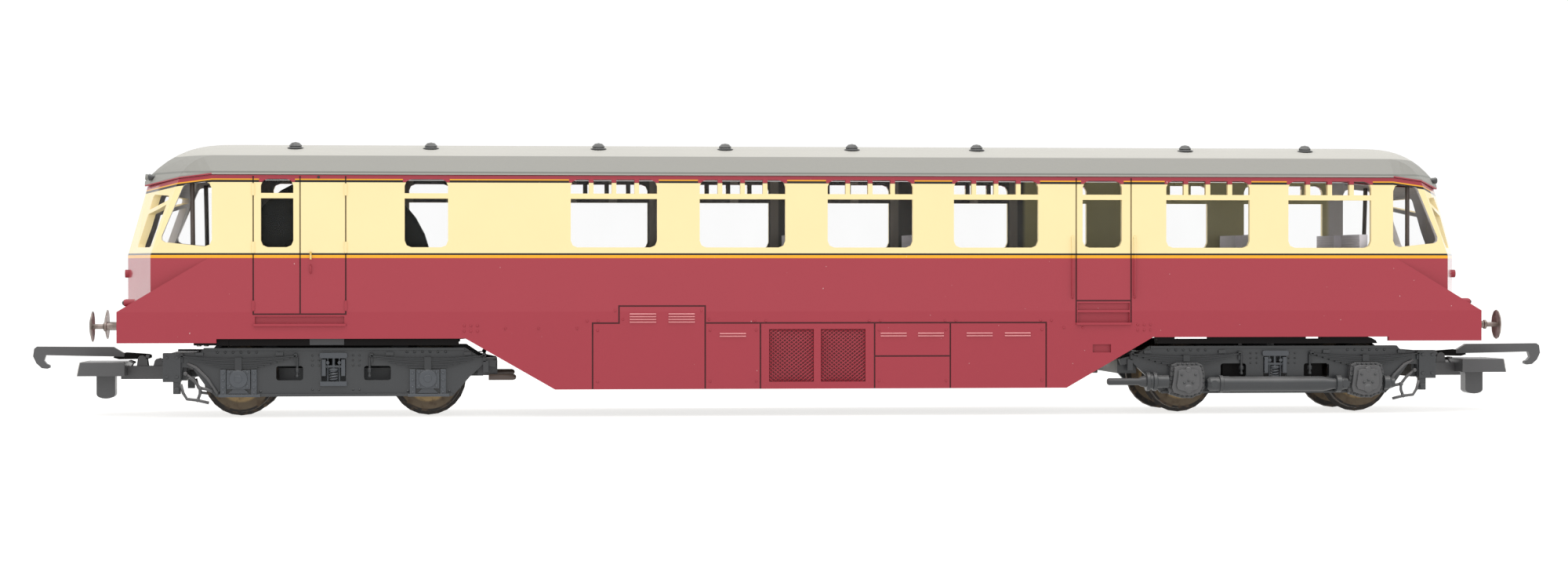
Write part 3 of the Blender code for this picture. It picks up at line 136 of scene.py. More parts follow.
class Finish:
    """One material being built, on its Principled shader."""

    def __init__(self, name, **constants):
        self.material = bpy.data.materials.new(name)
        self.material.use_nodes = True
        self.tree = self.material.node_tree
        self.tree.nodes.clear()
        self.output = self.node("ShaderNodeOutputMaterial")
        self.shader = self.node("ShaderNodeBsdfPrincipled", {}, {
            key.replace("_", " "): value for key, value in constants.items()})
        self.tree.links.new(self.shader.outputs[0], self.output.inputs["Surface"])
        self.coords = self.node("ShaderNodeTexCoord")

    def node(self, kind, settings=None, values=None):
        made = self.tree.nodes.new(kind)
        for name, value in (settings or {}).items():
            setattr(made, name, value)
        for name, value in (values or {}).items():
            self.feed(made.inputs[name], value)
        return made

    def feed(self, socket, value):
        if isinstance(value, Value):
            self.tree.links.new(value.socket, socket)
        elif socket.type == "VECTOR":
            socket.default_value = value[:3]
        else:
            socket.default_value = value

    def calculate(self, operation, *values):
        made = self.node("ShaderNodeMath", {"operation": operation}, dict(enumerate(values)))
        return Value(self, made.outputs[0])

    def place(self):
        """Where the surface is on the railcar, in millimetres."""
        split = self.node("ShaderNodeSeparateXYZ", {}, {"Vector": Value(self, self.coords.outputs["Object"])})
        return [Value(self, split.outputs[axis]) * 1000 for axis in range(3)]

    def facing(self):
        """Which way the surface faces, as the three parts of its normal."""
        split = self.node("ShaderNodeSeparateXYZ", {}, {"Vector": Value(self, self.coords.outputs["Normal"])})
        return [Value(self, split.outputs[axis]) for axis in range(3)]

    def noise(self, size, detail=3.0, stretch=(1, 1, 1)):
        """Noise from 0 to 1 whose features are about size millimetres across."""
        scaled = self.node("ShaderNodeMapping", {}, {
            "Vector": Value(self, self.coords.outputs["Object"]), "Scale": tuple(1 / part for part in stretch)})
        made = self.node("ShaderNodeTexNoise", {}, {
            "Vector": Value(self, scaled.outputs[0]), "Scale": 1000 / size, "Detail": detail})
        return Value(self, made.outputs[0])

    def mix(self, factor, first, second):
        made = self.node("ShaderNodeMix", {"data_type": "RGBA"}, {0: factor, 6: first, 7: second})
        return Value(self, made.outputs[2])

    def shade(self, colour, amount):
        """The colour times a number that varies around 1."""
        made = self.node("ShaderNodeVectorMath", {"operation": "SCALE"}, {0: colour, "Scale": amount})
        return Value(self, made.outputs[0])

    def finish(self, height=None, relief=0.02, **varying):
        """Joins what varies to the shader. Relief is the bump's depth in millimetres."""
        for name, value in varying.items():
            self.feed(self.shader.inputs[name.replace("_", " ")], value)
        if height is not None:
            bump = self.node("ShaderNodeBump", {}, {"Distance": relief * MM, "Height": height})
            self.tree.links.new(bump.outputs[0], self.shader.inputs["Normal"])
        return self.material


CREAM = srgb(236, 217, 163)
CRIMSON = srgb(155, 51, 63)
CRIMSON_LOW = srgb(152, 46, 59)
# Paler crimson for the louvres: partly a painted highlight on the raised ridges, partly rubbed paint.
CRIMSON_LIT_RUBBED = srgb(206, 128, 132)
GOLD = srgb(230, 164, 30)
LINING_BLACK = srgb(22, 19, 19)
WARM_DARK = srgb(104, 98, 96)
WARM_STRIP = srgb(170, 160, 150)
OLIVE = srgb(222, 212, 158)
CAB_PALE = srgb(226, 222, 222)


def eave_line(along):
    """The height of the roof's lower edge, which falls round the corner and the nose of each cab."""
    corner = (along - CAB_START).math("MAXIMUM", 0.0)
    nose = (along - NOSE_START).math("MAXIMUM", 0.0)
    return EAVE - corner * 0.1167 - nose * 0.0222


def body_paint():
    """Cream over crimson with gold and black lining outside, painted shade in the panel grooves and behind the
    grille mesh, and plain moulding inside.
    """
    paint = Finish("cream_and_crimson", Specular_IOR_Level=0.4, Coat_Roughness=0.12)
    x, y, z = paint.place()
    nx, ny, nz = paint.facing()
    along = abs(x)
    across = abs(y)
    below_eave = eave_line(along) - z
    colour = paint.mix(z.above(19.05, 0.05), CRIMSON_LOW, CRIMSON)
    colour = paint.mix(z.above(28.75), colour, GOLD)
    colour = paint.mix(z.above(WAIST), colour, LINING_BLACK)
    colour = paint.mix(z.above(WAIST + 0.34), colour, CREAM)
    spans = [x.between(left - 0.3, right + 0.3) for left, right in WINDOW_SPANS]
    windows = spans[0]
    for span in spans[1:]:
        windows = windows.math("MAXIMUM", span)
    colour = paint.mix(below_eave.below(1.32), colour, LINING_BLACK)
    colour = paint.mix(below_eave.below(0.9), colour, GOLD)
    colour = paint.mix(below_eave.below(0.68).math("MAXIMUM", windows * z.above(42.45)), colour, CRIMSON)
    outward = abs(ny).above(0.7, 0.1) * along.below(107.5, 0.1)
    grille = z.below(GRILLE_Z[1] + 0.1) * x.between(GRILLES[0][0] - 0.1, GRILLES[1][1] + 0.1)
    # Painted shade: the floors of the panel grooves are darkened to 0.28 of the paint, and the floor behind the
    # grille mesh to 0.55.
    groove_shade = across.between(17.66, 17.93, 0.01) * outward * (1.0 - grille)
    grille_recess_shade = across.between(17.57, 17.64, 0.01) * outward * grille
    colour = paint.shade(colour, 1.0 - groove_shade * 0.72 - grille_recess_shade * 0.45)
    polished = abs(nx).above(0.6, 0.15) * along.above(119.0, 0.5)
    strips = x.math("PINGPONG", 3.9).above(3.1, 0.15)
    dark_wall = paint.mix(strips, WARM_DARK, WARM_STRIP)
    wall = paint.mix(x.above(45.0, 0.5), dark_wall, OLIVE)
    wall = paint.mix(along.above(105.5, 0.5), wall, CAB_PALE)
    inner_side = (y * ny).below(-5.0, 1.0) * across.below(17.3, 0.05)
    inner_nose = (x * nx).below(-40.0, 5.0) * along.above(112.0, 0.5)
    colour = paint.mix(inner_side.math("MAXIMUM", inner_nose), colour, wall)
    handled = paint.noise(9.0, 4.0)
    fine = paint.noise(0.35, 2.0)
    # Painted light: faces turned up are made slightly lighter and faces turned down slightly darker, on top of the
    # random handling marks.
    colour = paint.shade(colour, 0.965 + handled * 0.05 + nz * 0.01)
    specks = paint.noise(0.55, 1.0).above(0.83, 0.02)
    colour = paint.mix(specks * 0.55, colour, srgb(228, 214, 210))
    return paint.finish(
        height=fine, relief=0.012, Base_Color=colour, Roughness=0.34 + handled * 0.14 + fine * 0.06,
        Coat_Weight=polished)


def roof_paint():
    """Matt grey, with a painted highlight along the top and a paler gutter that turns crimson round the cab ends."""
    paint = Finish("roof_grey")
    x, _, z = paint.place()
    grain = paint.noise(0.5, 3.0)
    patches = paint.noise(14.0, 4.0)
    grey = srgb(139, 138, 132)
    # Painted highlight: the roof above z 47.3 is made lighter, as if lit from above.
    colour = paint.mix(z.above(47.3, 0.08), grey, srgb(176, 174, 167))
    colour = paint.mix(z.between(44.05, 44.4, 0.08), colour, srgb(118, 119, 113))
    along = abs(x)
    on_cab = along.above(CAB_START, 0.05)
    above_eave = z - eave_line(along)
    gutter = paint.mix(on_cab, srgb(158, 155, 148), CRIMSON)
    rim = above_eave.below(0.34, 0.04) * (1.0 - on_cab) + above_eave.below(0.32, 0.04) * on_cab
    colour = paint.mix(rim, colour, gutter)
    colour = paint.shade(colour, 0.93 + patches * 0.1 + grain * 0.04)
    return paint.finish(height=grain, relief=0.02, Base_Color=colour, Roughness=0.5 + patches * 0.15)


def moulding(name, colour, dust_and_highlight, rough=0.45, relief=0.015, **constants):
    """Coloured plastic: fine moulding grain, with pale dust and a painted highlight on what faces up."""
    paint = Finish(name, **constants)
    nz = paint.facing()[2]
    grain = paint.noise(0.3, 3.0)
    patches = paint.noise(5.0, 4.0)
    # Faces turned up take the paler colour, which is partly dust and partly a painted highlight.
    dust_and_top_light = nz.above(0.45, 0.35) * (0.25 + patches * 0.5)
    tone = paint.shade(paint.mix(dust_and_top_light, colour, dust_and_highlight), 0.85 + patches * 0.22 + grain * 0.08)
    return paint.finish(height=grain, relief=relief, Base_Color=tone, Roughness=rough - 0.08 + patches * 0.16)


def turned_metal(name, colour, tarnish, rough=0.32, metallic=0.9):
    """Metal with fine turning marks and patches of tarnish."""
    paint = Finish(name, Metallic=metallic)
    marks = paint.noise(0.12, 2.0, (1, 1, 12))
    patches = paint.noise(2.2, 5.0)
    tone = paint.mix(patches.above(0.52, 0.16), colour, tarnish)
    tone = paint.shade(tone, 0.88 + marks * 0.24)
    return paint.finish(height=marks, relief=0.008, Base_Color=tone, Roughness=rough + patches * 0.22)


def wheel_metal():
    """Blackened wheel faces, with treads and backs worn to a tan metal."""
    paint = Finish("wheel_metal", Metallic=0.55)
    x, _, z = paint.place()
    ny = paint.facing()[1]
    across = abs(abs(x) - BOGIE_X) - WHEEL_OFF
    up = z - AXLE_Z
    radius = (across * across + up * up).math("SQRT")
    faced = abs(ny).above(0.6, 0.1)
    grime = paint.noise(1.3, 5.0)
    marks = paint.noise(0.15, 2.0, (1, 8, 1))
    face = paint.mix(radius.above(4.3, 0.25), srgb(146, 124, 88), srgb(92, 80, 64))
    face = paint.mix(radius.above(5.7, 0.1), face, srgb(34, 31, 29))
    tone = paint.mix(faced, srgb(58, 52, 46), face)
    tone = paint.mix(grime.above(0.6, 0.12), tone, srgb(78, 64, 50))
    tone = paint.shade(tone, 0.85 + marks * 0.28)
    return paint.finish(height=marks, relief=0.012, Base_Color=tone, Roughness=0.36 + grime * 0.2)


def clear_glazing():
    """Clear moulding, with a faint smear and nearly no tint."""
    paint = Finish("clear_glazing", IOR=1.46, Specular_IOR_Level=0.15)
    smear = paint.noise(6.0, 3.0, (1, 1, 2))
    tint = paint.shade(srgb(140, 146, 146), 0.9 + smear * 0.12)
    return paint.finish(Base_Color=tint, Roughness=0.04 + smear * 0.04, Alpha=0.015 + smear * 0.02)


def seat_moulding():
    """Grey seat backs over brown and maroon cushions, with a woven surface."""
    paint = Finish("seat_moulding")
    x, _, z = paint.place()
    nz = paint.facing()[2]
    weave = paint.calculate("SINE", x * 14.0) * paint.calculate("SINE", z * 14.0)
    worn = paint.noise(3.0, 4.0)
    cushion = paint.mix(x.math("PINGPONG", 23.3).above(11.6, 0.5), srgb(128, 92, 58), srgb(96, 44, 50))
    tone = paint.mix(z.above(29.0, 0.2), cushion, srgb(236, 232, 242))
    tone = paint.mix(z.below(19.4, 0.1), tone, srgb(92, 88, 82))
    # Painted light: faces turned up are made a little lighter, on top of the random wear.
    tone = paint.shade(tone, 0.86 + worn * 0.2 + nz * 0.04)
    return paint.finish(height=weave, relief=0.02, Base_Color=tone, Roughness=0.6 + worn * 0.2)


FINISHES = {
    "body_paint": body_paint(),
    "roof_paint": roof_paint(),
    "vent_grey": moulding("vent_grey", srgb(58, 59, 60), srgb(112, 111, 108), 0.28),
    "wheel_steel": wheel_metal(),
    "buffer_steel": turned_metal("buffer_metal", srgb(150, 138, 132), srgb(96, 84, 76), 0.3, 0.75),
    "bright_steel": turned_metal("bright_metal", srgb(206, 204, 200), srgb(150, 146, 140), 0.22),
    "coupling_black": moulding("coupling_moulding", srgb(78, 78, 79), srgb(158, 157, 156), 0.34),
    "glazing": clear_glazing(),
    "seat_grey": seat_moulding(),
    "chassis_black": moulding("chassis_moulding", srgb(16, 14, 14), srgb(46, 44, 43), 0.5, Specular_IOR_Level=0.12),
    "bogie_grey": moulding("bogie_moulding", srgb(52, 54, 56), srgb(132, 132, 131), 0.34),
    "ballast_steel": turned_metal("ballast_metal", srgb(150, 148, 146), srgb(112, 100, 88), 0.36),
    "gear_nylon": moulding("gear_nylon", srgb(226, 224, 214), srgb(238, 236, 228), 0.42, 0.01),
    "brass": turned_metal("pinion_brass", srgb(214, 180, 108), srgb(160, 120, 62), 0.26),
    "copper": turned_metal("winding_copper", srgb(196, 120, 82), srgb(120, 70, 48), 0.34),
}
CAP_BLACK = moulding("cap_black", srgb(40, 38, 38), srgb(96, 94, 92), 0.3)
# Louvre finish: paler crimson that is a painted highlight on the ridges together with rubbed paint.
LOUVRE_HIGHLIGHT_RUBBED = moulding("crimson_highlight_rubbed", CRIMSON_LIT_RUBBED, srgb(226, 170, 168), 0.4)
ROD_BROWN = moulding("rod_brown", srgb(70, 58, 52), srgb(120, 108, 98), 0.32)
# Painted highlight: a lighter copy of the bogie grey for the axleboxes and the bolster recess.
AXLEBOX_LIT_GREY = moulding("axlebox_grey_lit", srgb(66, 70, 75), srgb(150, 152, 154), 0.26)
# Painted shade: a darker copy of the bogie grey for the leaf springs, in place of the shade between the leaves.
SPRING_SHADED_GREY = moulding("spring_grey_shaded", srgb(40, 42, 44), srgb(120, 120, 120), 0.36)
HANDLE_GOLD = turned_metal("handle_gilt", srgb(244, 226, 170), srgb(216, 180, 96), 0.3, 0.3)


def dress(obj, material):
    obj.data.materials.clear()
    obj.data.materials.append(material)


for entry in frame["record"]["subparts"]:
    dress(frame["nodes"][entry["node"]], FINISHES[entry["material_slot"]])


# Shapes

AXES = {
    "X": lambda along, first, second: (along, first, second),
    "Y": lambda along, first, second: (first, along, second),
    "Z": lambda along, first, second: (first, second, along),
}


class Piece:
    """One piece's mesh, gathered from closed shapes in millimetres."""

    def __init__(self, name, body, finish, edge=0.05):
        self.name = name
        self.body = body
        self.finish = finish
        self.edge = edge
        self.mesh = bmesh.new()

    def prism(self, outline, low, high, axis="Y", holes=()):
        """A flat outline pushed from low to high along an axis, with any holes through it."""
        loops = [list(outline), *map(list, holes)]
        place = AXES[axis]
        ends = []
        for along in (low, high):
            ends.append([[self.mesh.verts.new(place(along, *point)) for point in loop] for loop in loops])
        triangles = tessellate_polygon([[Vector((*point, 0)) for point in loop] for loop in loops])
        for level in ends:
            flat = [vertex for loop in level for vertex in loop]
            for triangle in triangles:
                self.mesh.faces.new([flat[corner] for corner in triangle])
        for lower, upper in zip(*ends):
            for number in range(len(lower)):
                before = number - 1
                self.mesh.faces.new((lower[before], lower[number], upper[number], upper[before]))

    def box(self, low, high):
        (x0, y0, z0), (x1, y1, z1) = low, high
        self.prism([(x0, z0), (x1, z0), (x1, z1), (x0, z1)], y0, y1)

    def skin(self, rings):
        """Joins rings of equal count, each a list of points, and caps both ends."""
        made = [[self.mesh.verts.new(point) for point in ring] for ring in rings]
        for one, two in zip(made, made[1:]):
            for number in range(len(one)):
                before = number - 1
                self.mesh.faces.new((one[before], one[number], two[number], two[before]))
        self.mesh.faces.new(made[0])
        self.mesh.faces.new(made[-1])

    def lathe(self, profile, at, axis="Y", sides=20):
        """A turned shape: (radius, distance along the axis) from one end to the other."""
        rings = []
        for radius, along in profile:
            ring = []
            for step in range(sides):
                angle = math.tau * step / sides
                ring.append(Vector(at) + Vector(AXES[axis](
                    along, max(radius, 0.01) * math.cos(angle), max(radius, 0.01) * math.sin(angle))))
            rings.append(ring)
        self.skin(rings)

    def rod(self, start, end, radius, sides=12):
        self.tube([start, end], radius, sides)

    def tube(self, path, radius, sides=10):
        """A round bar along a path of points."""
        points = [Vector(point) for point in path]
        rings = []
        side = None
        for number, point in enumerate(points):
            after = points[min(number + 1, len(points) - 1)]
            before = points[max(number - 1, 0)]
            along = (after - before).normalized()
            if side is None:
                side = along.orthogonal().normalized()
            side = (side - along * side.dot(along)).normalized()
            other = along.cross(side)
            turns = [math.tau * step / sides for step in range(sides)]
            rings.append([point + (side * math.cos(t) + other * math.sin(t)) * radius for t in turns])
        self.skin(rings)

    def dome(self, at, radius, tall, axis="Y", sides=10):
        """A rounded head, standing tall from at along the axis, or the other way if tall is negative."""
        profile = [(radius, 0.0)]
        for step in range(1, 5):
            angle = math.pi / 2 * step / 4
            profile.append((radius * math.cos(angle), tall * math.sin(angle)))
        self.lathe(profile, at, axis, sides)

    def nut(self, at, radius, tall, axis="Y"):
        self.lathe([(radius, 0.0), (radius, tall * 0.8), (radius * 0.8, tall)], at, axis, 6)

    def coil(self, at, radius, wire, tall, turns):
        """A standing coil spring whose foot is at the given point."""
        steps = 14 * turns
        path = []
        for step in range(steps + 1):
            angle = math.tau * turns * step / steps
            path.append((
                at[0] + radius * math.cos(angle), at[1] + radius * math.sin(angle), at[2] + tall * step / steps))
        self.tube(path, wire, 6)

    def done(self, slot=None, replaces=()):
        bmesh.ops.recalc_face_normals(self.mesh, faces=self.mesh.faces)
        bmesh.ops.scale(self.mesh, vec=(MM, MM, MM), verts=self.mesh.verts)
        data = bpy.data.meshes.new(self.name)
        self.mesh.to_mesh(data)
        self.mesh.free()
        for face in data.polygons:
            face.use_smooth = True
        obj = bpy.data.objects.new(self.name, data)
        bpy.context.scene.collection.objects.link(obj)
        dress(obj, FINISHES[self.finish] if self.finish in FINISHES else self.finish)
        if self.edge:
            bevel = obj.modifiers.new("eased_edges", "BEVEL")
            bevel.width = self.edge * MM
            bevel.segments = 2
            bevel.limit_method = "ANGLE"
            bevel.angle_limit = math.radians(40)
            bevel.harden_normals = True
        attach(obj, self.body)
        if replaces:
            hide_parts(*replaces)
        return obj


def band(side, inner, outer):
    """The two distances as sorted places across the car, on one side of it."""
    return sorted((side * inner, side * outer))


# Bodywork details

def door_hinges(name, side):
    """Hinges across both shut lines of the luggage doors, in the body's colours."""
    piece = Piece(f"door_hinges_{name}", "coach", "body_paint", 0.04)
    for x in LUGGAGE_DOORS:
        for low, high in ((40.1, 42.1), (29.7, 31.6), (19.3, 21.0)):
            y0, y1 = band(side, HALF - 0.25, HALF + 0.14)
            piece.box((x - 0.27, y0, low), (x + 0.27, y1, high))
            middle = (low + high) / 2
            barrel = [(0.16, low - middle - 0.1), (0.16, high - middle + 0.1)]
            piece.lathe(barrel, (x, side * (HALF + 0.1), middle), "Z", 10)
    piece.done()


def door_furniture(name, side):
    """The luggage doors' handle and pull, and the screw head above them."""
    piece = Piece(f"luggage_handles_{name}", "coach", HANDLE_GOLD, 0.03)
    x = -90.9
    y = side * HALF
    piece.rod((x, y, 29.2), (x, y + side * 0.45, 29.2), 0.16)
    piece.rod((x, y + side * 0.38, 28.5), (x, y + side * 0.38, 29.9), 0.17)
    piece.done("brass")
    pull = Piece(f"luggage_pull_{name}", "coach", "body_paint", 0)
    pull.tube([(x, y, 26.0), (x, y + side * 0.4, 26.2), (x, y + side * 0.4, 27.3), (x, y, 27.5)], 0.12)
    pull.done()
    screw = Piece(f"cantrail_screw_{name}", "coach", CAP_BLACK, 0)
    screw.dome((-89.5, side * (HALF - 0.02), 43.3), 0.26, side * 0.16)
    screw.done("chassis_black")


def grab_rails(name, side):
    """Bowed rails beside the saloon door, each standing on two feet."""
    piece = Piece(f"grab_rails_{name}", "coach", "body_paint", 0)
    for x in (48.1, 59.7):
        path = [(x, side * (HALF - 0.1), 21.4)]
        for step in range(9):
            part = step / 8
            bow = 0.32 + 0.16 * math.sin(math.pi * part)
            path.append((x, side * (HALF + bow), 21.6 + 11.0 * part))
        path.append((x, side * (HALF - 0.1), 32.8))
        piece.tube(path, 0.15, 8)
        for z in (21.6, 32.6):
            piece.dome((x, side * (HALF - 0.02), z), 0.3, side * 0.14)
    piece.done()


LOUVRES = (
    (-31.05, 17.0, 4), (-24.0, 17.0, 4), (-14.65, 14.4, 2), (14.9, 14.4, 2), (21.8, 14.4, 2), (30.8, 14.4, 2),
    (37.9, 14.4, 2),
)
LOUVRE_HALF = 2.4
LOUVRE_PITCH = 0.49


def louvres(name, side):
    """Pressed louvres in the skirt's panels: long low ridges, in a paler crimson that is partly a painted highlight
    on the ridges and partly rubbed paint.
    """
    piece = Piece(f"skirt_louvres_{name}", "coach", LOUVRE_HIGHLIGHT_RUBBED, 0.02)
    y = side * (HALF - 0.02)
    for x, foot, count in LOUVRES:
        for number in range(count):
            z = foot + number * LOUVRE_PITCH
            outline = [(y, z), (side * (HALF + 0.22), z + 0.04), (side * (HALF + 0.2), z + 0.12), (y, z + 0.24)]
            piece.prism(outline, x - LOUVRE_HALF, x + LOUVRE_HALF, "X")
    piece.done("body_paint")


def clipped(start, end, low, high):
    """The part of a slanting line, rising one way, that lies between two heights and two ends."""
    (x0, z0), (x1, z1) = start, end
    (left, foot), (right, top) = low, high
    shares = [0.0, 1.0]
    for begin, finish, least, most in ((x0, x1, left, right), (z0, z1, foot, top)):
        one = (least - begin) / (finish - begin)
        two = (most - begin) / (finish - begin)
        shares = [max(shares[0], min(one, two)), min(shares[1], max(one, two))]
    if shares[1] - shares[0] < 0.02:
        return None
    return [(x0 + (x1 - x0) * share, z0 + (z1 - z0) * share) for share in shares]


def grille_mesh(name, side):
    """Diamond mesh over the radiator recesses, from two sets of slanting bars."""
    piece = Piece(f"grille_mesh_{name}", "coach", "body_paint", 0)
    foot, top = GRILLE_Z
    tall = top - foot
    lean = MESH_PITCH[0] / MESH_PITCH[1]
    half_bar = 0.15
    for left, right in GRILLES:
        count = int((right - left + tall * lean) / MESH_PITCH[0]) + 2
        for lean_way in (1, -1):
            for number in range(count):
                base = left - tall * lean + number * MESH_PITCH[0] if lean_way > 0 else left + number * MESH_PITCH[0]
                line = clipped((base, foot), (base + lean_way * tall * lean, top), (left, foot), (right, top))
                if line is None:
                    continue
                (x0, z0), (x1, z1) = line
                back, front = band(side, GRILLE_BACK, 17.86 if lean_way > 0 else 17.82)
                outline = [(x0 - half_bar, z0), (x0 + half_bar, z0), (x1 + half_bar, z1), (x1 - half_bar, z1)]
                piece.prism(outline, back, front)
    piece.done()


def body_rivets(name, side):
    """Small heads at the panels' corners and joints, and along the solebar."""
    piece = Piece(f"body_rivets_{name}", "coach", "body_paint", 0)
    spots = [(x + gap, 17.3) for x in (-40.2, -9.6, 11.4, 25.4, 43.2) for gap in (-1.0, 1.0)]
    spots += [(x, 16.0) for x in (-56.0, -50.0, -43.0, 46.5, 50.0)]
    for start in (-63.4, 60.3):
        spots += [(start + across, z) for across in (0.0, 1.2, 2.4) for z in (15.5, 16.5)]
    for x in (-35.4, -19.7):
        spots += [(x - 0.7, 19.2), (x + 0.7, 17.6)]
    spots += [(x, z) for x in (-39.3, -18.8, -10.4, 12.2, 24.6, 42.4) for z in (6.3, 15.6)]
    for x, z in spots:
        piece.dome((x, side * (HALF - 0.02), z), 0.24, side * 0.2, sides=8)
    piece.done()


def nose_fittings(name, end):
    """Side lamps with dark lenses, the buffers' feet, the horns at the roof's tip and the drawhook plate."""
    lamps = Piece(f"nose_lamps_{name}", "coach", "body_paint", 0.04)
    lenses = Piece(f"lamp_lenses_{name}", "coach", CAP_BLACK, 0)
    for side in (-1, 1):
        at = (end * 122.6, side * LAMP_Y, LAMP_Z)
        lamps.lathe([(0.66, 0.0), (0.68, end * 1.6), (0.56, end * 2.0)], at, "X", 16)
        lenses.dome((end * 124.55, side * LAMP_Y, LAMP_Z), 0.46, end * 0.4, "X", 14)
    lamps.done()
    lenses.done("chassis_black")
    feet = Piece(f"buffer_feet_{name}", "coach", "body_paint", 0.04)
    bolts = Piece(f"buffer_bolts_{name}", "coach", "coupling_black", 0)
    sockets = Piece(f"buffer_sockets_{name}", "coach", "buffer_steel", 0.03)
    for side in (-1, 1):
        y = side * BUFFER_Y
        feet.prism(
            [(y - 1.5, 14.9), (y + 1.5, 14.9), (y + 1.5, 17.8), (y - 1.5, 17.8)],
            *sorted((end * 125.2, end * 125.75)), "X")
        sockets.lathe(
            [(0.9, end * 125.5), (0.66, end * 126.0), (0.66, end * 127.8), (0.86, end * 127.9), (0.86, end * 128.3),
             (0.5, end * 128.5)], (0, y, BUFFER_Z), "X", 16)
        for across in (-1.1, 1.1):
            for z in (15.3, 17.4):
                bolts.nut((end * 125.7, y + across, z), 0.24, end * 0.2, "X")
    feet.done()
    bolts.done()
    sockets.done()
    horns = Piece(f"roof_horns_{name}", "coach", "vent_grey", 0)
    for side in (-1, 1):
        horns.lathe(
            [(0.3, 0.0), (0.42, end * 0.8), (0.66, end * 1.4), (0.5, end * 1.7)],
            (end * 119.6, side * 3.2, 43.6), "X", 14)
    horns.done()
    pocket = Piece(f"drawhook_plate_{name}", "coach", "coupling_black", 0.04)
    pocket.prism(
        [(-1.4, 15.0), (1.4, 15.0), (1.4, 17.6), (-1.4, 17.6)], *sorted((end * 125.3, end * 125.65)), "X")
    pocket.prism(
        [(-0.3, 15.7), (0.3, 15.7), (0.3, 17.0), (-0.3, 17.0)], *sorted((end * 125.5, end * 126.3)), "X")
    pocket.done()


def cab_fittings(name, end):
    """What shows through the cab's glass: the corner posts and a desk."""
    posts = Piece(f"cab_posts_{name}", "coach", ROD_BROWN, 0.05)
    for side in (-1, 1):
        posts.rod((end * 112.1, side * 14.9, 29.0), (end * 112.3, side * 14.2, 42.6), 0.42, 10)
    posts.done("seat_grey")
    desk = Piece(f"cab_desk_{name}", "coach", "seat_grey", 0.1)
    desk.box((min(end * 114.2, end * 117.0), -11.5, 27.2), (max(end * 114.2, end * 117.0), 11.5, 29.0))
    desk.done()


def roof_vent_rings():
    """A seating flange under each roof ventilator."""
    piece = Piece("roof_vent_flanges", "coach", "vent_grey", 0)
    for node, obj in frame["nodes"].items():
        if node.startswith("roof_vent"):
            low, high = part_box(node)
            x, y = (low.x + high.x) / 2 / MM, (low.y + high.y) / 2 / MM
            foot = low.z / MM
            piece.lathe([(1.5, -0.2), (1.5, 0.12), (1.25, 0.24)], (x, y, foot), "Z", 24)
    piece.done()


# Bogies

def rounded(left, foot, right, top, radius, steps=4):
    """A rectangle with round corners."""
    corners = ((right, foot, -90), (right, top, 0), (left, top, 90), (left, foot, 180))
    points = []
    for x, z, start in corners:
        centre_x = x - radius if x == right else x + radius
        centre_z = z - radius if z == top else z + radius
        for step in range(steps + 1):
            angle = math.radians(start + 90 * step / steps)
            points.append((centre_x + radius * math.cos(angle), centre_z + radius * math.sin(angle)))
    return points


SIDE_PLATE = (
    (-29.5, 10.1), (-29.2, 8.9), (-26.9, 9.3), (-24.6, 7.2), (-22.6, 4.9), (-21.6, 3.8), (21.2, 3.8), (22.4, 4.9),
    (23.9, 7.0), (25.4, 9.0), (27.0, 9.0), (27.3, 6.4), (30.5, 6.4), (30.5, 11.6), (24.0, 11.6), (23.2, 12.5),
    (-23.8, 12.5), (-26.4, 10.8),
)
SLOT = (5.5, 6.6, 10.3, 9.2)
RECESS = (-2.2, 6.2, 2.2, 10.7)


class BogieSide:
    """One side frame's details, placed from the bogie's centre out towards the car's end."""

    def __init__(self, name, body, centre, outward, side):
        self.name = name
        self.body = body
        self.centre = centre
        self.outward = outward
        self.side = side

    def x(self, along):
        return self.centre + self.outward * along

    def flat(self, outline):
        return [(self.x(along), up) for along, up in outline]

    def piece(self, part, finish="bogie_grey", edge=0.06):
        return Piece(f"{self.name}_{part}", self.body, finish, edge)

    def slab(self, piece, outline, inner, outer, holes=()):
        piece.prism(self.flat(outline), *band(self.side, inner, outer), "Y", [self.flat(hole) for hole in holes])

    def block(self, piece, left, foot, right, top, inner, outer):
        self.slab(piece, [(left, foot), (right, foot), (right, top), (left, top)], inner, outer)

    def rivet(self, piece, along, up, out=FRAME_OUT, radius=0.27):
        piece.dome((self.x(along), self.side * (out - 0.02), up), radius, self.side * 0.26, sides=8)

    def bolt(self, piece, along, up, out=FRAME_OUT, radius=0.32):
        piece.nut((self.x(along), self.side * (out - 0.02), up), radius, self.side * 0.3)

    def pin(self, piece, along, up, inner, outer, radius, sides=16):
        reach = self.side * (outer - inner)
        profile = [(radius, 0.0), (radius, reach * 0.86), (radius * 0.84, reach)]
        piece.lathe(profile, (self.x(along), self.side * inner, up), "Y", sides)


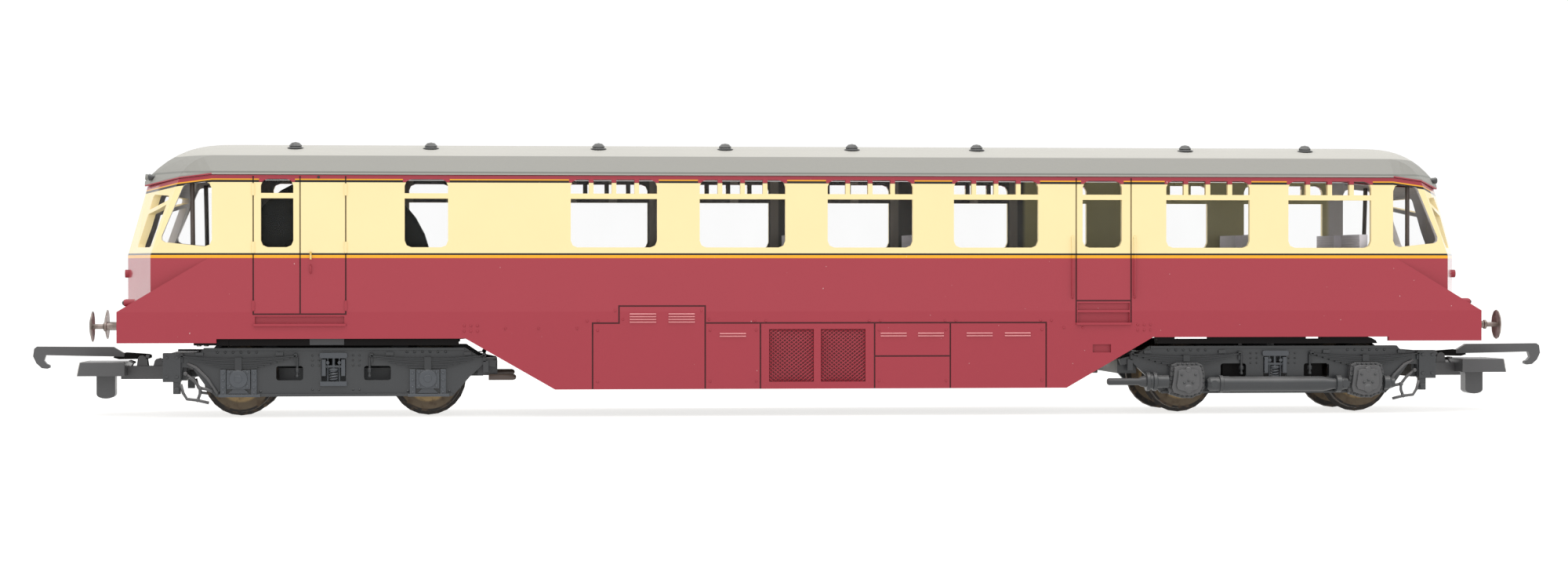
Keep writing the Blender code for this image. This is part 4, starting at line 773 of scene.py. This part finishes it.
def side_plate(frame_side):
    """The plate itself: openings, rivets, lugs and its bright lower lip."""
    piece = frame_side.piece("plate")
    openings = [rounded(*SLOT, 0.45), rounded(-SLOT[2], SLOT[1], -SLOT[0], SLOT[3], 0.45), rounded(*RECESS, 0.5)]
    frame_side.slab(piece, SIDE_PLATE, FRAME_IN, FRAME_OUT, openings)
    frame_side.block(piece, -21.5, 3.7, 21.1, 4.15, FRAME_OUT - 0.1, FRAME_OUT + 0.45)
    frame_side.block(piece, -23.6, 12.0, 23.0, 12.5, FRAME_OUT - 0.1, FRAME_OUT + 0.3)
    for wheel in (-WHEEL_OFF, WHEEL_OFF):
        for number in range(6):
            frame_side.rivet(piece, wheel - 3.2 + 1.4 * number, 11.72)
        for along in (-3.9, 3.6):
            frame_side.rivet(piece, wheel + along, 4.6)
    for along in (-4.65, -3.5, 2.6, 3.8):
        for up in (9.3, 10.2, 11.1, 4.9):
            frame_side.rivet(piece, along, up, radius=0.2)
    for along in (-24.2, -10.1, 9.7, 24.0):
        frame_side.block(piece, along - 0.7, 11.1, along + 0.7, 11.7, FRAME_OUT - 0.1, FRAME_OUT + 0.5)
    frame_side.block(piece, 27.3, 6.4, 30.5, 11.6, FRAME_OUT - 0.1, FRAME_OUT + 0.7)
    frame_side.block(piece, 27.4, 4.2, 28.7, 6.6, FRAME_IN + 0.2, FRAME_OUT + 0.3)
    for along, up in ((28.0, 10.8), (29.8, 10.8), (28.0, 7.3), (29.8, 7.3)):
        frame_side.bolt(piece, along, up, FRAME_OUT + 0.7)
    frame_side.pin(piece, 28.0, 4.9, FRAME_OUT, FRAME_OUT + 0.8, 0.5)
    frame_side.block(piece, -28.0, 8.0, -27.0, 10.1, FRAME_OUT - 0.1, FRAME_OUT + 0.5)
    return piece


def leaf_springs(frame_side, foot_of_buckle):
    """Long leaf springs over each axlebox, with their buckles and hanger rods."""
    piece = frame_side.piece("springs", SPRING_SHADED_GREY, 0.03)
    leaf = 0.26
    count = 7
    for wheel in (-WHEEL_OFF, WHEEL_OFF):
        for number in range(count):
            reach = 10.3 - 1.15 * number
            curve = []
            for step in range(9):
                along = -reach + 2 * reach * step / 8
                curve.append((wheel + along, 10.55 + 0.6 * (along / 10.3) ** 2 - leaf * number))
            under = [(along, up - leaf + 0.05) for along, up in reversed(curve)]
            frame_side.slab(piece, curve + under, FRAME_OUT - 0.1, FRAME_OUT + 1.0 - 0.05 * number)
        frame_side.block(piece, wheel - 0.62, foot_of_buckle, wheel + 0.62, 10.8, FRAME_OUT - 0.1, FRAME_OUT + 1.15)
        for end in (-10.2, 10.2):
            frame_side.pin(piece, wheel + end, 11.15, FRAME_OUT, FRAME_OUT + 1.0, 0.42)
            frame_side.block(
                piece, wheel + end - 0.28, 9.9, wheel + end + 0.28, 11.2, FRAME_OUT - 0.1, FRAME_OUT + 0.5)
        inner = wheel - math.copysign(10.5, wheel)
        x = frame_side.x(inner)
        y = frame_side.side * (FRAME_OUT + 0.45)
        piece.rod((x, y, 7.3), (x, y, 10.9), 0.22)
        piece.nut((x, y, 8.1), 0.45, 0.7, "Z")
        piece.nut((x, y, 7.2), 0.36, 0.4, "Z")
    return piece


def axleboxes(frame_side):
    """Axleboxes with round covers, in their horn guides over the tie bars."""
    piece = frame_side.piece("axleboxes", AXLEBOX_LIT_GREY)
    for wheel in (-WHEEL_OFF, WHEEL_OFF):
        frame_side.block(piece, wheel - 2.1, 5.1, wheel + 2.1, 8.5, FRAME_OUT - 0.2, FRAME_OUT + 0.9)
        frame_side.slab(
            piece, [(wheel - 1.9, 4.2), (wheel + 1.9, 4.2), (wheel + 0.95, 5.2), (wheel - 0.95, 5.2)],
            FRAME_OUT - 0.2, FRAME_OUT + 0.35)
        frame_side.pin(piece, wheel, 6.9, FRAME_OUT + 0.8, FRAME_OUT + 1.3, 1.62, 24)
        frame_side.pin(piece, wheel, 6.9, FRAME_OUT + 1.2, FRAME_OUT + 1.42, 0.7, 16)
        for across in (-1.6, 1.6):
            for up in (8.1, 5.55):
                frame_side.bolt(piece, wheel + across, up, FRAME_OUT + 0.9, 0.26)
        for left, right in ((-3.25, -2.25), (2.25, 3.25)):
            frame_side.block(piece, wheel + left, 4.0, wheel + right, 8.6, FRAME_OUT - 0.2, FRAME_OUT + 0.62)
            for up in (7.9, 6.6, 5.3, 4.45):
                frame_side.bolt(piece, wheel + (left + right) / 2, up, FRAME_OUT + 0.6, 0.24)
        frame_side.block(piece, wheel - 3.9, 3.62, wheel + 3.6, 4.1, FRAME_OUT - 0.1, FRAME_OUT + 0.75)
    return piece


GEARBOX = (
    (-3.0, 9.0), (-1.9, 9.4), (1.9, 9.4), (2.9, 9.0), (3.3, 7.5), (3.3, 4.8), (2.6, 3.5), (1.6, 3.2), (1.0, 2.85),
    (-1.0, 2.85), (-1.9, 3.1), (-3.2, 3.5), (-3.6, 4.6), (-3.2, 7.0),
)


def gearboxes(frame_side):
    """Final drive casings over the trailing bogie's axle ends, with bolted edges."""
    piece = frame_side.piece("gearboxes", "coupling_black", 0.16)
    small = frame_side.piece("gearbox_bolts", "bogie_grey", 0)
    middle = 6.2
    for wheel in (-WHEEL_OFF, WHEEL_OFF):
        for share, inner, outer in ((1.0, 14.4, 16.2), (0.84, 16.1, 17.0), (0.62, 16.9, 17.5)):
            outline = [(wheel + along * share, middle + (up - middle) * share) for along, up in GEARBOX]
            frame_side.slab(piece, outline, inner, outer)
        frame_side.pin(piece, wheel, 8.1, 16.9, 17.55, 0.55)
        frame_side.pin(piece, wheel, 4.6, 16.9, 17.6, 0.8)
        loop = list(GEARBOX) + [GEARBOX[0]]
        for (a0, u0), (a1, u1) in zip(loop, loop[1:]):
            count = max(1, round(math.hypot(a1 - a0, u1 - u0) / 0.9))
            for number in range(count):
                along = a0 + (a1 - a0) * number / count
                up = u0 + (u1 - u0) * number / count
                frame_side.bolt(small, wheel + along * 0.92, middle + (up - middle) * 0.92, 16.2, 0.2)
        for across, up in ((0, 6.1), (-0.8, 5.7), (0.8, 5.7), (-1.3, 7.2), (1.3, 7.2)):
            frame_side.bolt(small, wheel + across, up, 17.5, 0.22)
    return [piece, small]


def bolster_spring(frame_side):
    """The recess between the wheels: swing posts, thin rods and the coil spring."""
    piece = frame_side.piece("bolster_spring", AXLEBOX_LIT_GREY, 0.03)
    frame_side.slab(piece, rounded(-2.5, 10.6, 2.5, 11.6, 0.4), FRAME_OUT - 0.1, FRAME_OUT + 0.6)
    frame_side.block(piece, -2.4, 5.6, 2.4, 6.4, FRAME_IN, FRAME_OUT + 0.7)
    for along in (-1.75, 1.75):
        frame_side.block(piece, along - 0.35, 7.4, along + 0.35, 10.4, FRAME_IN + 0.4, FRAME_OUT + 0.5)
        frame_side.bolt(piece, along * 0.6, 9.8, FRAME_OUT + 0.1, 0.36)
        x = frame_side.x(along * 0.6)
        piece.rod((x, frame_side.side * 14.5, 6.3), (x, frame_side.side * 14.5, 10.6), 0.14, 8)
    x = frame_side.x(0)
    y = frame_side.side * 14.3
    piece.coil((x, y, 6.4), 0.68, 0.16, 2.0, 4)
    piece.lathe([(0.95, 8.4), (0.95, 8.7), (0.4, 8.8)], (x, y, 0), "Z", 18)
    piece.rod((x, y, 8.7), (x, y, 10.8), 0.3, 10)
    frame_side.block(piece, -2.0, 8.9, 2.0, 9.3, FRAME_IN + 0.2, FRAME_OUT)
    return piece


def brake_pipes(frame_side):
    """Steps, sand pipes and brake pull rods at the bogie's outer end."""
    piece = frame_side.piece("pipes", "coupling_black", 0)
    y = frame_side.side * 15.0
    routes = (
        ((27.3, 6.0), (26.9, 4.4), (26.2, 3.3), (24.4, 3.1), (22.3, 2.6)),
        ((24.3, 3.1), (23.9, 4.2), (23.9, 5.3), (24.9, 6.6), (26.5, 7.9)),
        ((23.9, 5.3), (22.8, 5.1), (21.7, 4.7)),
        ((26.2, 9.7), (24.6, 9.0), (22.6, 7.0), (20.7, 4.2)),
    )
    for route in routes:
        piece.tube([(frame_side.x(along), y, up) for along, up in route], 0.28, 8)
    for along, up in ((24.3, 3.1), (23.9, 5.3), (26.5, 7.9)):
        frame_side.pin(piece, along, up, 14.7, 15.4, 0.36, 12)
    return piece


def pull_rod(frame_side):
    """The round-ended rod that stands out of the motor bogie's inner end."""
    rod = frame_side.piece("pull_rod", ROD_BROWN, 0)
    x = frame_side.x(-28.0)
    profile = [(0.57, 0.0), (0.57, 4.4), (0.45, 4.8), (0.2, 5.0)]
    turned = [(radius, -frame_side.outward * along) for radius, along in profile]
    rod.lathe(turned, (x, frame_side.side * 14.4, 7.1), "X", 16)
    rod.done("chassis_black")


def build_bogie_side(node, body, centre, outward, side, geared):
    frame_side = BogieSide(node.replace("_side", "_frame"), body, centre, outward, side)
    side_plate(frame_side).done(replaces=[node])
    leaf_springs(frame_side, 9.6 if geared else 8.5).done("bogie_grey")
    bolster_spring(frame_side).done("bogie_grey")
    brake_pipes(frame_side).done()
    if geared:
        for piece in gearboxes(frame_side):
            piece.done()
    else:
        axleboxes(frame_side).done("bogie_grey")
        pull_rod(frame_side)


def drive_shafts():
    """The shaft between the two gearboxes, and the stub that would run on to the engine."""
    shaft = Piece("cardan_shaft_turned", "trailing_bogie", "bogie_grey", 0.05)
    profile = [
        (0.8, 73.7), (1.3, 74.2), (1.3, 75.9), (1.6, 76.0), (1.6, 76.6), (1.45, 76.7), (1.45, 77.8), (1.4, 78.0),
        (1.4, 95.6), (1.0, 97.6), (1.0, 98.0), (1.6, 98.1), (1.6, 99.0), (1.2, 99.1), (1.0, 100.3)]
    shaft.lathe(profile, (0, SHAFT_Y, CARDAN_Z), "X", 24)
    for x in (74.9, 99.7):
        shaft.lathe([(0.75, SHAFT_Y - 1.4), (0.75, SHAFT_Y + 1.4)], (x, 0, CARDAN_Z), "Y", 14)
    shaft.done(replaces=["cardan_shaft"])
    stub = Piece("engine_shaft_stub", "trailing_bogie", "bogie_grey", 0.04)
    profile = [
        (0.4, 54.9), (0.65, 55.2), (0.65, 60.8), (0.9, 61.2), (1.1, 62.1), (1.75, 62.2), (1.75, 62.8), (1.45, 62.9),
        (1.45, 63.4), (1.75, 63.5), (1.75, 64.1), (1.2, 64.3), (1.2, 66.4)]
    stub.lathe(profile, (0, SHAFT_Y, CARDAN_Z + 0.5), "X", 24)
    stub.done()
    outer = Piece("gearbox_outer_yoke", "trailing_bogie", "bogie_grey", 0.04)
    outer.lathe([(1.3, 107.2), (1.3, 108.2), (0.9, 108.6), (0.9, 109.2)], (0, SHAFT_Y, CARDAN_Z + 0.2), "X", 18)
    outer.done()


def coupling_bar(name, end, body):
    """The fixed part of a coupling: shank, loop with its bright front edge, dropper, humps and spring."""
    piece = Piece(f"{name}_coupling_loop", body, "coupling_black", 0.07)

    def flat(outline):
        return [(end * along, up) for along, up in outline]

    piece.prism(flat([(117.6, 6.5), (126.4, 6.5), (126.4, 8.9), (117.6, 8.9)]), -2.0, 2.0)
    piece.prism(flat([(125.2, 7.2), (133.7, 7.2), (133.2, 9.7), (125.2, 9.7)]), -7.0, 7.0)
    dropper = [(127.5, 7.4), (130.9, 7.4)]
    for step in range(9):
        angle = math.pi * step / 8
        dropper.append((129.2 + 1.7 * math.cos(angle), 3.7 - 0.8 * math.sin(angle)))
    piece.prism(flat(dropper), -1.6, 1.6)
    for x, top in ((119.6, 10.3), (122.6, 10.9)):
        hump = [(x - 1.0, 8.7), (x + 1.0, 8.7)]
        for step in range(7):
            angle = math.pi * step / 6
            hump.append((x + 0.8 * math.cos(angle), top - 0.8 + 0.8 * math.sin(angle)))
        for y in (-1.75, 1.05):
            piece.prism(flat(hump), y, y + 0.7)
    piece.rod((end * 121.6, -1.9, 10.7), (end * 121.6, 1.9, 10.7), 0.35)
    piece.done(replaces=[f"{name}_coupling_bar"])
    lip = Piece(f"{name}_loop_lip", body, "bright_steel", 0.03)
    lip.prism(flat([(132.9, 9.72), (133.35, 9.72), (133.85, 7.2), (133.7, 7.2), (133.2, 9.6)]), -6.9, 6.9)
    lip.done()
    spring = Piece(f"{name}_coupling_spring", body, "coupling_black", 0)
    path = [(end * (124.1 + 0.8 * (step % 2)), -1.6 + 0.4 * step, 9.5 + 0.35 * (step % 2)) for step in range(9)]
    spring.tube(path, 0.16, 6)
    spring.rod((end * 124.5, -1.7, 8.8), (end * 124.1, -1.6, 9.5), 0.16, 6)
    spring.done()


def coupling_hook(name, end, body):
    """The lifting part: a deep arm with a hooked nose, and the thin tail it pivots on."""
    hook = Piece(f"{name}_coupling_hook", body, "coupling_black", 0.09)
    outline = [
        (125.9, 10.6), (134.2, 10.75), (140.2, 10.9), (140.5, 9.9), (140.0, 9.3), (139.5, 9.1), (139.4, 8.6),
        (139.9, 8.4), (140.9, 8.5), (141.9, 9.4), (142.5, 10.7), (142.3, 12.1), (141.8, 12.5), (127.9, 12.4),
        (125.9, 11.2)]
    hook.prism([(end * along, up) for along, up in outline], -0.7, 0.7)
    hook.done(replaces=[f"{name}_hook"])
    tail = Piece(f"{name}_hook_tail", body, "chassis_black", 0.05)
    outline = [
        (121.0, 10.4), (121.5, 10.2), (126.9, 10.1), (128.0, 10.4), (127.6, 10.9), (125.6, 11.4), (121.6, 11.1),
        (121.0, 10.9)]
    tail.prism([(end * along, up) for along, up in outline], -0.55, 0.55)
    tail.done()


def underframe_ends():
    """Underframe blocks and bearing pads over the motor bogie, and the middle of the trailing one."""
    piece = Piece("underframe_end", "coach", "chassis_black", 0.1)
    for side in (-1, 1):
        y0, y1 = band(side, 15.9, 16.6)
        piece.box((-111.9, y0, 13.0), (-105.6, y1, 14.9))
    piece.done()
    block = Piece("pickup_block", "coach", "bogie_grey", 0.08)
    for side in (-1, 1):
        y0, y1 = band(side, 15.9, 16.7)
        block.box((-91.2, y0, 13.05), (-85.0, y1, 14.5))
    block.done()
    pads = Piece("bogie_bearing_pads", "coach", "bright_steel", 0.05)
    for x in (-111.2, -109.9):
        for side in (-1, 1):
            pads.lathe([(0.42, 12.75), (0.5, 13.1), (0.42, 13.5)], (x, side * 13.2, 0), "Z", 12)
    pads.done()
    middle = Piece("trailing_bogie_middle", "trailing_bogie", "chassis_black", 0.15)
    for left, right in ((77.4, 84.0), (90.0, 96.6)):
        middle.box((left, -12.6, 5.2), (right, 12.6, 9.55))
    middle.done()


for side_name, sign in SIDES.items():
    door_hinges(side_name, sign)
    door_furniture(side_name, sign)
    grab_rails(side_name, sign)
    louvres(side_name, sign)
    grille_mesh(side_name, sign)
    body_rivets(side_name, sign)
    build_bogie_side(f"motor_side_{side_name}", "motor_bogie", -BOGIE_X, -1, sign, False)
    build_bogie_side(f"trailing_side_{side_name}", "trailing_bogie", BOGIE_X, 1, sign, sign < 0)
for end_name, sign in (("left", -1), ("right", 1)):
    nose_fittings(end_name, sign)
    cab_fittings(end_name, sign)
roof_vent_rings()
drive_shafts()
underframe_ends()
for end_name, sign, bogie in (("motor_end", -1, "motor_bogie"), ("trailing_end", 1, "trailing_bogie")):
    coupling_bar(end_name, sign, bogie)
    coupling_hook(end_name, sign, f"{end_name}_hook")


# Studio

FLOOR_GLOW = 0.78        # a lit table, so that shadows stay pale


def studio_floor():
    """A plain pale floor that the wheels stand on."""
    paint = Finish("studio_floor", Specular_IOR_Level=0.2)
    soft = paint.noise(400.0, 2.0)
    paint.feed(paint.shader.inputs["Emission Strength"], FLOOR_GLOW)
    pale = paint.shade(srgb(150, 150, 150), 0.98 + soft * 0.04)
    glow = paint.shade(srgb(255, 254, 252), 0.99 + soft * 0.01)
    material = paint.finish(Base_Color=pale, Emission_Color=glow, Roughness=0.7 + soft * 0.1)
    bpy.ops.mesh.primitive_circle_add(vertices=96, radius=6.0, fill_type="NGON", location=(0, 0, -0.00005))
    floor = bpy.context.object
    floor.name = "studio_floor"
    dress(floor, material)


def area_light(name, at, toward, size, power):
    data = bpy.data.lights.new(name, "AREA")
    data.shape = "RECTANGLE"
    data.size, data.size_y = size
    data.energy = power
    light = bpy.data.objects.new(name, data)
    light.location = at
    light.rotation_euler = (Vector(toward) - Vector(at)).to_track_quat("-Z", "Y").to_euler()
    bpy.context.scene.collection.objects.link(light)


def studio():
    bpy.context.scene.view_settings.view_transform = "Standard"
    studio_floor()
    world = bpy.data.worlds.new("white_studio")
    world.use_nodes = True
    world.node_tree.nodes["Background"].inputs["Color"].default_value = (1, 1, 1, 1)
    world.node_tree.nodes["Background"].inputs["Strength"].default_value = 1.05
    bpy.context.scene.world = world
    area_light("overhead_softbox", (0, -0.1, 1.1), (0, 0, 0), (1.6, 1.2), 9)
    area_light("front_softbox", (-0.35, -1.3, 0.75), (0, 0, 0.02), (1.2, 0.8), 1.5)
    data = bpy.data.cameras.new("camera")
    data.lens = 73.06
    data.sensor_width = 36
    data.sensor_fit = "HORIZONTAL"
    data.clip_start = 0.01
    camera = bpy.data.objects.new("camera", data)
    camera.location = (-0.0596, -0.5967, 0.02685)
    camera.rotation_euler = (math.pi / 2 - 0.0072, 0, -0.0936)
    bpy.context.scene.collection.objects.link(camera)
    bpy.context.scene.camera = camera


studio()
